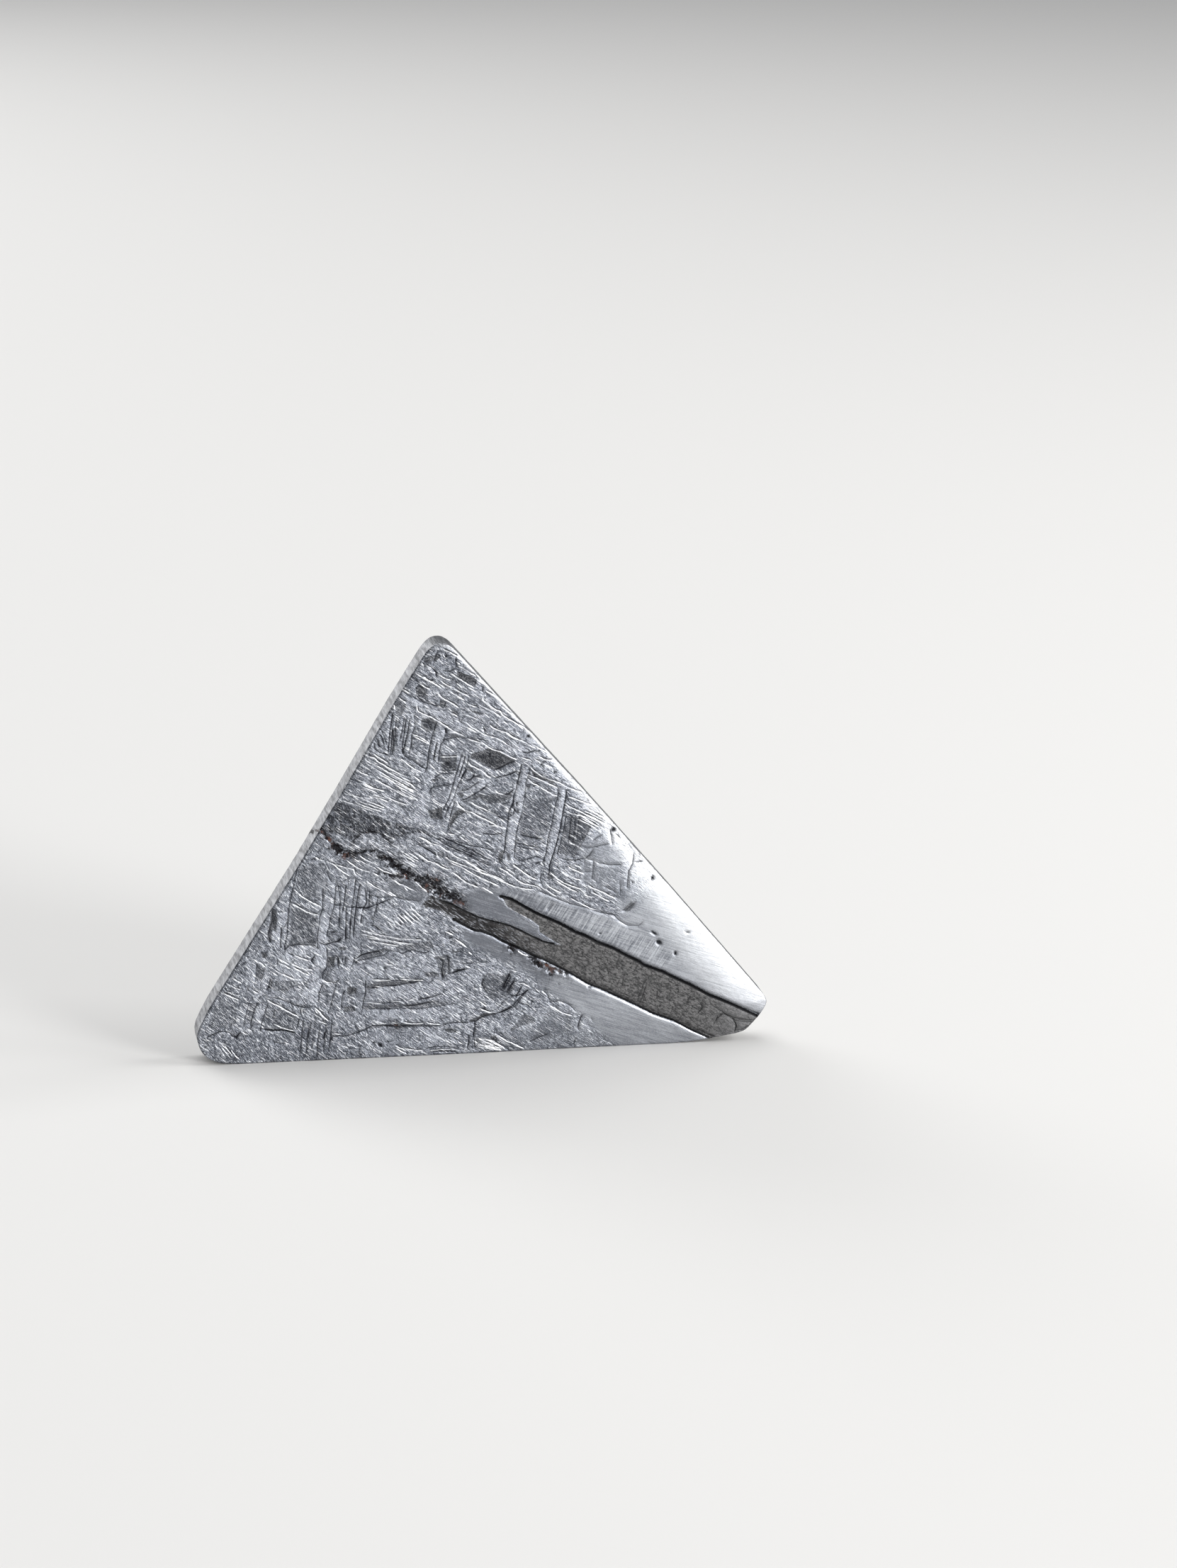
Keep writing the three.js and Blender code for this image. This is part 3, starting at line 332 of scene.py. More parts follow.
seams = {
    "depth": 0.07,
    "spread": 0.12,
    "lines": [
        # in the band
        [(-6.5, 17.5), (-5.0, 17.1), (-3.2, 16.1), (-1.8, 15.3), (-0.8, 14.4), (0.5, 13.3)],
        [(-0.9, 15.0), (0.2, 14.5), (1.3, 14.2)],
        [(-5.0, 18.3), (-4.2, 17.8), (-3.3, 16.8)],
        [(-6.6, 16.6), (-5.3, 16.4), (-4.0, 15.9), (-2.6, 15.3), (-1.6, 14.6), (-0.9, 13.9)],
        [(-0.6, 14.2), (0.6, 13.7), (1.9, 13.3), (3.1, 12.6)],
        [(17.3, 7.5), (16.8, 6.8), (16.5, 5.8), (16.1, 4.8)],
        [(18.4, 6.1), (18.3, 5.0)],
        [(24.2, 4.3), (25.0, 3.7), (26.0, 3.0), (27.4, 2.4), (29.0, 2.2)],
        [(26.9, 0.8), (27.1, 1.7), (26.6, 2.7)],
        [(25.6, 3.2), (24.9, 2.6), (24.5, 1.8)],
        [(26.8, 1.1), (27.7, 1.2), (28.4, 1.6)],
        [(23.0, 4.6), (23.3, 3.9), (22.7, 3.2)],
        [(12.2, 9.4), (12.9, 8.8), (13.1, 7.9)],
        # the two long bars right of the middle
        [(4.4, 30.9), (4.0, 29.4), (3.9, 28.0), (3.6, 26.4), (3.1, 24.5), (2.9, 22.75), (2.75, 21.25)],
        [(3.6, 31.75), (3.25, 30.1), (3.0, 29.1), (2.75, 28.25), (2.6, 27.25), (2.25, 26.6), (1.9, 23.75),
         (1.75, 22.1)],
        [(7.5, 29.0), (7.4, 27.9), (7.1, 26.75), (6.9, 25.5), (6.7, 24.6), (6.4, 23.4), (6.25, 22.0),
         (5.8, 20.6)],
        [(8.4, 28.75), (8.25, 27.6), (8.0, 26.25), (7.75, 24.75), (7.4, 23.1), (7.0, 21.75), (6.6, 20.5),
         (6.5, 19.3)],
        [(8.35, 26.1), (8.1, 24.5), (7.75, 22.9), (7.35, 21.5)],
        [(5.7, 19.6), (5.6, 18.9), (5.9, 18.2)],
        # the bars left of the middle
        [(-7.5, 23.4), (-6.4, 22.8), (-5.4, 22.1)],
        [(-6.9, 23.0), (-5.9, 22.4), (-5.4, 22.0)],
        [(-4.6, 23.9), (-3.4, 23.3), (-2.4, 22.8), (-1.4, 22.3), (-0.4, 21.7)],
        [(-3.6, 23.6), (-1.9, 23.0), (-0.9, 22.8), (0.6, 22.4)],
        [(-2.8, 22.6), (-1.5, 22.0), (-0.3, 21.5), (0.6, 21.2)],
        [(-4.9, 23.5), (-3.7, 22.8), (-2.6, 22.3), (-1.6, 21.7)],
        [(-0.85, 27.0), (0.35, 26.45), (1.3, 25.9), (2.1, 25.45)],
        [(0.05, 18.1), (0.5, 18.8)],
        [(-8.6, 37.1), (-8.95, 34.5), (-9.0, 33.15)],
        [(-10.05, 36.05), (-9.9, 34.5), (-10.1, 33.2)],
        [(-11.95, 34.6), (-11.9, 33.8), (-11.35, 33.4), (-10.3, 33.1)],
        [(-11.6, 35.0), (-11.5, 34.2), (-10.8, 33.55)],
        [(-11.2, 35.9), (-10.6, 34.1)],
        [(-4.5, 35.9), (-4.35, 35.0)],
        [(-7.1, 36.7), (-6.3, 36.4), (-5.9, 35.6)],
        [(-5.1, 31.7), (-4.2, 31.5), (-3.5, 31.6)],
        [(-5.4, 36.5), (-5.75, 35.5), (-6.0, 34.5), (-6.25, 33.25), (-6.4, 31.8), (-6.7, 31.0)],
        [(-4.4, 35.9), (-4.6, 34.6), (-5.0, 34.0), (-5.2, 32.75), (-5.25, 32.0)],
        [(-5.35, 34.4), (-5.6, 33.2), (-5.75, 32.2)],
        [(-2.75, 33.0), (-3.1, 31.6), (-3.5, 30.4), (-3.75, 29.4), (-4.1, 28.25), (-4.75, 27.0)],
        [(-2.0, 33.0), (-2.1, 32.2), (-2.5, 31.0), (-2.9, 30.1), (-3.25, 29.4), (-3.6, 28.25),
         (-4.25, 27.1), (-4.6, 26.0)],
        [(-2.35, 32.9), (-2.7, 31.6), (-3.1, 30.3)],
        [(-3.5, 28.0), (-4.0, 26.1), (-4.3, 24.6)],
        [(-10.0, 37.75), (-10.25, 36.0), (-10.4, 34.5), (-10.5, 33.25)],
        [(-10.0, 35.9), (-10.2, 33.9), (-10.25, 33.3)],
        [(-9.6, 37.2), (-9.75, 36.2), (-9.7, 35.0)],
        [(-8.2, 37.0), (-8.5, 35.25), (-8.8, 34.0), (-9.0, 33.1)],
        [(-8.75, 37.25), (-9.0, 35.75), (-9.3, 34.6)],
        [(-7.75, 37.5), (-7.7, 36.0), (-8.0, 35.25), (-8.1, 34.0), (-8.4, 33.1)],
        [(-9.0, 33.1), (-8.0, 32.5), (-7.4, 32.0), (-6.5, 31.4)],
        [(-12.0, 35.0), (-11.7, 34.4), (-11.3, 33.9)],
        [(-11.5, 35.6), (-11.1, 34.9), (-10.9, 34.0)],
        # apex
        [(-7.55, 39.35), (-6.9, 38.75), (-6.5, 38.6)],
        [(-5.7, 38.7), (-5.45, 38.3), (-5.05, 38.15)],
        [(-8.3, 41.65), (-7.2, 40.8)],
        [(-9.0, 39.9), (-8.3, 39.4), (-7.9, 39.3)],
        [(-6.0, 42.4), (-5.5, 41.9), (-5.4, 41.2)],
        [(-2.3, 43.0), (-1.9, 42.4)],
        [(-5.25, 44.25), (-5.5, 43.5), (-5.75, 42.9)],
        [(-3.4, 43.4), (-3.4, 42.7), (-3.25, 42.35), (-2.5, 41.95), (-1.6, 41.55), (-1.0, 41.05)],
        [(-4.9, 42.1), (-4.5, 41.9), (-4.0, 41.9), (-3.4, 42.15)],
        [(-1.25, 41.0), (-1.4, 40.25)],
        [(-0.5, 40.25), (-0.6, 39.5)],
        [(-8.0, 39.3), (-7.4, 38.9), (-6.75, 38.6), (-6.0, 38.4), (-5.4, 38.25), (-4.9, 38.0)],
        [(-6.7, 39.3), (-6.6, 38.9), (-6.2, 38.65)],
        [(-7.7, 40.0), (-7.3, 40.45), (-6.5, 40.1), (-6.5, 39.6)],
        [(-5.0, 38.9), (-5.1, 38.3)],
        [(-4.4, 38.7), (-4.7, 38.0)],
        [(-3.1, 36.9), (-3.0, 36.4), (-2.5, 36.2)],
        [(-6.6, 43.0), (-6.9, 42.7), (-6.6, 42.3)],
        [(-4.85, 43.6), (-4.6, 43.3), (-4.35, 43.5), (-4.5, 43.9), (-4.8, 43.85)],
        # between the bars
        [(10.2, 19.6), (11.2, 19.6), (11.3, 20.9), (10.4, 21.0)],
        [(11.2, 19.5), (11.1, 18.6)],
        [(10.2, 22.2), (11.5, 22.3), (13.0, 22.6)],
        [(12.3, 23.6), (11.6, 23.3), (11.1, 22.9)],
        [(11.6, 20.6), (12.8, 20.3), (14.4, 20.2)],
        [(15.9, 16.1), (14.9, 15.3), (14.3, 15.1)],
        [(-0.5, 35.9), (-0.25, 35.0)],
        [(3.5, 32.95), (4.2, 32.8), (5.1, 33.1)],
        [(5.4, 31.2), (5.9, 31.8)],
        [(5.5, 31.9), (5.95, 31.1)],
        [(4.9, 20.6), (5.6, 20.95)],
        [(6.3, 15.5), (7.0, 16.6)],
        [(6.45, 15.4), (7.1, 16.4)],
        [(12.3, 18.0), (13.9, 17.15)],
        [(3.4, 24.0), (4.6, 23.6), (5.9, 23.4)],
        [(7.6, 21.3), (8.4, 21.0), (9.2, 20.95)],
        [(2.9, 26.9), (2.75, 26.3), (2.3, 26.0)],
        [(-0.7, 24.3), (0.4, 24.1), (1.7, 24.2)],
        [(4.4, 31.3), (4.35, 30.7)],
        [(-4.9, 34.5), (-4.0, 34.7), (-3.25, 34.8), (-2.5, 34.65), (-2.0, 34.75), (-1.1, 34.5),
         (0.0, 34.25)],
        [(-5.75, 30.4), (-5.0, 30.9), (-4.2, 30.95), (-3.5, 30.95)],
        [(-6.25, 28.75), (-6.0, 29.4), (-5.4, 29.6), (-4.25, 29.6), (-3.7, 29.75)],
        [(-1.4, 30.9), (-1.5, 30.45), (-0.7, 30.55)],
        [(-3.0, 27.9), (-2.25, 28.1), (-1.1, 28.75), (-0.25, 29.25)],
        [(-3.1, 28.9), (-2.2, 29.1), (-1.4, 29.6), (-0.8, 29.95)],
        [(-2.4, 30.0), (-1.8, 30.2), (-1.4, 30.6)],
        [(0.5, 31.1), (1.2, 31.3), (2.2, 31.8), (3.0, 32.0)],
        [(0.5, 30.2), (1.5, 30.4), (2.4, 30.6), (3.2, 31.0)],
        [(4.6, 29.1), (5.2, 29.3), (5.6, 28.9)],
        [(2.8, 27.9), (2.6, 27.0), (3.2, 26.4)],
        [(3.0, 23.1), (4.2, 22.75), (5.5, 22.45)],
        [(3.0, 22.75), (4.4, 22.4), (5.6, 22.1)],
        [(2.8, 21.75), (3.0, 21.25), (3.5, 21.1), (4.1, 21.25), (5.0, 21.5), (5.6, 21.4), (5.9, 21.0)],
        [(9.1, 20.9), (10.4, 21.1), (10.9, 21.5), (11.3, 22.1)],
        [(10.3, 21.0), (10.3, 20.4)],
        [(15.7, 21.5), (15.5, 20.25), (15.1, 19.5), (14.9, 17.6)],
        [(15.6, 20.4), (16.7, 20.5)],
        [(14.1, 18.5), (14.2, 17.1)],
        [(5.4, 17.75), (6.75, 17.1), (8.0, 16.5), (9.0, 16.1), (10.5, 15.7), (12.0, 15.1), (13.5, 14.75),
         (14.1, 14.1), (15.0, 13.5), (16.2, 13.45), (16.75, 13.9)],
        [(12.0, 15.3), (12.5, 15.1)],
        [(13.1, 24.2), (13.2, 23.3), (13.3, 22.4)],
        [(13.6, 23.6), (14.0, 23.4), (14.2, 23.0)],
        [(2.0, 20.3), (1.3, 21.0), (1.2, 21.6)],
        # left of the vein
        [(-16.9, 20.6), (-16.8, 20.1), (-16.5, 19.6)],
        [(-15.1, 13.1), (-15.0, 14.7)],
        [(-14.6, 14.3), (-14.55, 15.4)],
        [(-12.5, 18.65), (-12.6, 16.8)],
        [(-14.9, 16.8), (-12.7, 16.6), (-10.1, 17.6)],
        [(-16.2, 13.0), (-15.5, 13.3)],
        [(-22.7, 16.8), (-22.8, 15.6), (-23.2, 14.2), (-23.0, 13.3)],
        [(-20.05, 21.4), (-20.4, 20.0), (-20.7, 18.5), (-21.0, 17.1), (-21.2, 15.0), (-21.25, 13.9),
         (-21.6, 12.4)],
        [(-21.8, 15.0), (-21.9, 13.6), (-21.95, 12.5)],
        [(-17.4, 19.0), (-17.5, 17.4), (-17.45, 16.75), (-17.75, 16.0), (-17.9, 14.75), (-18.1, 13.4),
         (-18.0, 12.25)],
        [(-16.0, 19.9), (-16.25, 17.0), (-16.7, 15.6), (-16.8, 14.75), (-17.0, 14.1), (-17.05, 13.4)],
        [(-15.0, 19.25), (-15.25, 17.0), (-15.4, 16.1)],
        [(-14.0, 20.0), (-14.1, 18.5), (-14.4, 16.75), (-14.7, 13.1)],
        [(-13.45, 19.4), (-13.7, 18.5), (-13.9, 17.1), (-14.1, 15.5), (-14.3, 13.4)],
        [(-15.0, 17.0), (-15.05, 13.1)],
        [(-15.9, 19.6), (-15.6, 17.4), (-15.8, 15.2)],
        [(-13.0, 18.8), (-12.8, 17.2), (-13.4, 16.2)],
        [(-11.6, 18.0), (-11.8, 16.6), (-12.1, 15.6)],
        [(-16.9, 14.2), (-16.4, 14.1), (-16.0, 14.2)],
        [(-21.6, 12.4), (-21.0, 12.8), (-20.0, 12.95), (-18.75, 12.8), (-18.1, 12.6)],
        [(-19.25, 13.1), (-18.1, 13.1)],
        [(-17.9, 13.0), (-17.25, 12.75), (-16.5, 13.0), (-15.75, 13.1), (-15.5, 13.6)],
        [(-18.7, 22.1), (-18.2, 22.3), (-17.6, 22.1)],
        [(-18.6, 18.9), (-18.9, 18.4)],
        [(-10.0, 17.75), (-8.75, 17.4), (-7.2, 17.1)],
        [(-12.8, 18.0), (-11.4, 17.7), (-10.2, 17.7)],
        [(-23.2, 13.6), (-22.9, 13.2)],
        [(-13.9, 16.7), (-12.9, 16.6), (-12.3, 16.9)],
        # lower left
        [(-22.6, 6.0), (-22.85, 4.7)],
        [(-23.9, 4.05), (-23.65, 3.65), (-22.7, 3.6), (-21.25, 3.5), (-20.4, 3.2)],
        [(-17.45, 8.85), (-16.85, 8.55), (-16.15, 8.55), (-15.7, 8.95)],
        [(-15.9, 11.45), (-15.9, 10.15)],
        [(-15.05, 11.45), (-15.25, 10.25)],
        [(-22.3, 11.55), (-22.3, 10.75)],
        [(-21.25, 12.05), (-20.4, 11.7)],
        [(-27.15, 3.95), (-26.75, 3.0), (-26.25, 3.6)],
        [(-25.3, 6.75), (-25.5, 5.9), (-25.75, 5.0), (-26.0, 4.1)],
        [(-24.4, 6.75), (-24.75, 5.9), (-25.0, 5.1), (-25.2, 4.1)],
        [(-23.25, 6.75), (-23.6, 5.75), (-23.9, 4.75), (-24.25, 3.4)],
        [(-23.0, 7.25), (-22.0, 7.0), (-21.25, 6.7), (-20.5, 6.25), (-19.6, 6.0), (-18.75, 5.95)],
        [(-20.0, 4.9), (-20.2, 4.1), (-20.4, 3.4)],
        [(-18.75, 4.4), (-19.0, 3.25), (-19.4, 2.1)],
        [(-17.1, 3.5), (-17.6, 2.2)],
        [(-17.5, 8.6), (-17.9, 7.5), (-18.0, 6.4)],
        [(-16.1, 8.5), (-16.4, 7.25), (-16.7, 6.0), (-17.0, 5.0)],
        [(-15.2, 7.75), (-15.5, 6.75), (-15.6, 5.25)],
        [(-24.4, 11.1), (-24.5, 10.1), (-24.6, 9.0)],
        [(-23.0, 9.4), (-23.25, 8.4), (-23.5, 8.0)],
        [(-29.9, 3.1), (-29.0, 3.5), (-28.5, 3.7), (-27.9, 3.7), (-27.3, 3.5), (-27.1, 3.1), (-26.6, 3.0),
         (-26.25, 3.6)],
        [(-21.0, 8.2), (-20.0, 8.5), (-19.5, 8.3)],
        [(-18.25, 11.75), (-18.7, 11.1), (-18.3, 10.5)],
        [(-17.1, 12.6), (-17.0, 11.5), (-17.1, 10.25), (-17.5, 9.75), (-17.6, 8.95)],
        [(-23.75, 3.8), (-22.8, 3.6), (-21.6, 3.55), (-20.6, 3.2)],
        [(-23.0, 2.35), (-22.0, 2.1), (-21.4, 2.1)],
        [(-15.85, 11.5), (-15.75, 10.3)],
        [(-15.45, 11.4), (-15.3, 10.4)],
        [(-14.1, 11.5), (-14.2, 10.75), (-14.6, 10.0)],
        # lower middle
        [(-4.5, 13.65), (-4.55, 12.9)],
        [(-4.35, 12.9), (-3.55, 13.0)],
        [(-4.35, 11.1), (-4.15, 10.3), (-4.2, 9.35)],
        [(-4.8, 9.2), (-4.8, 8.45)],
        [(-3.65, 9.35), (-2.8, 9.4), (-2.3, 9.55)],
        [(-3.0, 10.0), (-2.1, 10.05), (0.0, 10.1)],
        [(2.55, 9.1), (2.2, 8.3), (1.7, 7.3), (1.4, 6.8)],
        [(3.0, 8.2), (2.3, 7.1), (1.9, 6.55)],
        [(4.45, 6.9), (3.9, 6.45), (3.0, 6.2), (2.2, 6.3)],
        [(4.0, 6.55), (3.45, 6.0), (2.8, 5.2), (2.2, 4.8), (1.2, 4.4)],
        [(3.2, 5.5), (4.3, 5.1), (4.65, 5.2)],
        [(4.8, 5.8), (4.65, 5.1)],
        [(6.0, 6.8), (6.65, 6.7)],
        [(-1.1, 1.9), (-1.0, 0.7)],
        [(9.55, 1.3), (9.3, 0.3)],
        [(1.0, 12.8), (2.3, 12.1), (2.8, 12.0)],
        [(-14.05, 11.1), (-13.3, 11.5), (-12.5, 11.7), (-11.4, 11.8)],
        [(-12.1, 8.4), (-10.0, 8.5), (-8.2, 8.4), (-7.4, 8.4)],
        [(-13.1, 6.0), (-10.5, 6.05), (-9.05, 6.0)],
        [(-9.05, 5.6), (-7.4, 5.7), (-6.05, 5.95), (-5.1, 6.0)],
        [(-4.9, 3.25), (-4.3, 3.5), (-3.1, 3.55), (-2.0, 3.45)],
        [(1.05, 4.8), (1.65, 5.65), (2.25, 6.05), (2.85, 6.35)],
        [(-6.0, 0.4), (-5.0, 0.45), (-3.2, 0.25)],
        [(-11.05, 1.7), (-10.1, 1.75)],
        [(-2.0, 2.2), (-1.95, 1.5), (-2.15, 0.5)],
        [(-1.4, 3.0), (-1.5, 2.2), (-1.3, 0.4)],
        [(-4.65, 8.6), (-4.3, 9.0), (-3.7, 9.1), (-2.85, 9.35)],
        [(2.45, 8.75), (2.0, 7.9), (1.65, 7.05)],
        [(-14.25, 10.5), (-13.75, 10.9), (-13.0, 11.0), (-12.0, 11.2), (-11.0, 11.4), (-10.5, 11.8),
         (-9.6, 11.75), (-9.1, 11.4), (-8.6, 11.7), (-8.0, 11.8), (-7.4, 11.6), (-6.6, 11.4), (-6.0, 11.75)],
        [(-12.5, 7.75), (-11.0, 7.95), (-10.0, 7.95), (-9.0, 8.1), (-8.0, 8.2), (-6.9, 8.4)],
        [(-13.0, 8.75), (-13.0, 7.25), (-13.2, 6.5), (-13.4, 5.25)],
        [(-13.25, 5.4), (-12.25, 5.5), (-11.25, 5.5), (-10.0, 5.4), (-8.75, 5.4), (-7.5, 5.25),
         (-6.25, 5.4), (-5.0, 5.5), (-3.4, 5.7)],
        [(-7.4, 6.3), (-6.5, 6.4), (-5.6, 6.6), (-5.0, 6.8)],
        [(-16.9, 2.0), (-16.5, 2.65), (-15.0, 2.6), (-14.0, 2.9), (-13.0, 3.25), (-12.25, 3.6),
         (-11.25, 3.6), (-10.5, 3.5), (-9.75, 3.35), (-8.75, 3.4), (-7.5, 3.35), (-6.25, 3.3),
         (-4.75, 3.25)],
        [(-2.0, 3.6), (-1.25, 3.6), (-0.75, 4.0), (0.0, 4.2), (0.6, 4.3), (1.5, 4.5), (2.1, 4.75),
         (3.0, 5.05), (3.25, 5.5), (4.0, 6.5), (4.4, 6.9)],
        [(-1.4, 3.6), (-1.3, 2.75), (-1.5, 1.9)],
        [(6.0, 6.7), (6.4, 6.25), (6.75, 5.4), (7.5, 5.4), (8.25, 5.25), (9.0, 4.8), (9.4, 4.3)],
        [(10.4, 3.9), (10.1, 3.6), (9.9, 3.0), (9.75, 2.4), (9.95, 2.0)],
        [(11.2, 3.5), (11.35, 2.9)],
        [(-4.0, 11.25), (-3.25, 11.4), (-2.5, 11.4)],
        [(-3.75, 9.1), (-2.5, 9.4), (-2.0, 9.5)],
        [(-5.25, 10.7), (-4.7, 10.4), (-4.9, 9.4), (-4.75, 8.5)],
        [(2.25, 8.75), (1.75, 7.75), (1.25, 6.8)],
        [(3.0, 8.0), (2.0, 6.5)],
        [(2.6, 8.5), (1.6, 6.8)],
        [(3.7, 7.3), (3.0, 6.0)],
        [(-0.4, 8.4), (-0.6, 7.6), (-0.2, 6.9)],
        [(-6.5, 0.75), (-5.6, 0.95), (-4.4, 0.9), (-3.25, 0.75)],
        [(4.4, 0.9), (5.6, 1.5), (6.6, 1.8)],
        # upper middle and left bars
        [(1.35, 27.3), (2.25, 27.55)],
        [(1.6, 28.4), (2.2, 28.45), (2.6, 28.8), (2.75, 29.05)],
        [(-0.1, 29.8), (-0.2, 29.4), (-0.55, 29.1), (-0.9, 28.9)],
        [(2.65, 26.85), (3.1, 26.35), (3.55, 26.3)],
        [(-3.9, 31.25), (-3.2, 31.2)],
        [(-2.15, 31.6), (-2.4, 31.0), (-2.85, 30.3)],
        [(-1.5, 30.9), (-1.6, 30.1)],
        [(-19.9, 6.0), (-19.85, 5.2)],
        [(-24.05, 8.9), (-24.15, 8.4)],
        [(-25.2, 11.9), (-25.5, 11.6)],
        [(-25.05, 7.3), (-25.2, 6.9)],
        [(-14.75, 19.95), (-14.8, 19.3)],
        [(-15.3, 19.15), (-15.3, 18.75)],
        [(-15.6, 15.9), (-15.75, 15.2), (-15.75, 14.5)],
        [(-13.35, 16.0), (-13.4, 15.4), (-13.5, 14.8)],
        [(-12.5, 14.7), (-12.0, 14.6), (-11.6, 14.2), (-11.0, 13.95)],
        [(-16.3, 17.1), (-15.3, 17.0)],
        [(-12.8, 13.7), (-12.75, 13.2)],
        # cracks in the mineral band
        [(16.4, 4.6), (16.9, 5.9), (17.3, 7.2)],
        [(25.0, 3.1), (25.75, 3.1), (26.5, 2.6), (27.0, 2.25), (28.0, 2.1), (28.9, 2.0)],
        [(27.0, 2.2), (27.1, 1.2)],
        [(25.0, 3.1), (24.9, 2.0)],
    ],
}

# Packets of nearly parallel lines: both ends of the first, both ends of the last, and how many
rimPackets = [
    ((-1.1, 1.7), (0.6, 1.2), (-0.9, 0.7), (1.9, 0.1), 6),
    ((-11.0, 14.9), (-10.5, 14.3), (-8.2, 16.5), (-6.7, 15.0), 10),
    ((-8.5, 22.5), (-7.3, 21.7), (-9.4, 21.4), (-7.85, 20.4), 7),
    ((-10.2, 31.3), (-8.1, 30.1), (-9.4, 29.2), (-7.5, 28.0), 8),
    ((-10.4, 38.15), (-10.15, 37.85), (-13.6, 33.0), (-13.3, 32.7), 12),
    ((-13.8, 30.6), (-12.6, 30.0), (-11.8, 28.6), (-10.4, 28.0), 5),
    ((10.2, 26.3), (12.3, 25.1), (9.6, 25.4), (11.6, 24.3), 5),
    ((-12.0, 11.0), (-11.0, 10.7), (-10.2, 10.0), (-9.2, 9.7), 3),
    ((-15.4, 28.4), (-12.6, 27.3), (-13.2, 28.1), (-10.4, 27.0), 3),
    ((-28.8, 2.2), (-27.9, 0.9), (-27.4, 1.9), (-26.5, 0.6), 4),
    ((9.4, 24.9), (10.2, 24.4), (8.5, 23.1), (9.3, 22.6), 4),
]
seamPackets = [
    ((8.9, 25.8), (8.6, 22.9), (9.74, 25.8), (9.44, 22.9), 3),
    ((-19.6, 4.6), (-20.0, 0.8), (-16.6, 4.2), (-17.0, 0.6), 6),
    ((-6.0, 24.6), (-2.0, 22.6), (-4.5, 22.9), (0.5, 20.6), 5),
]

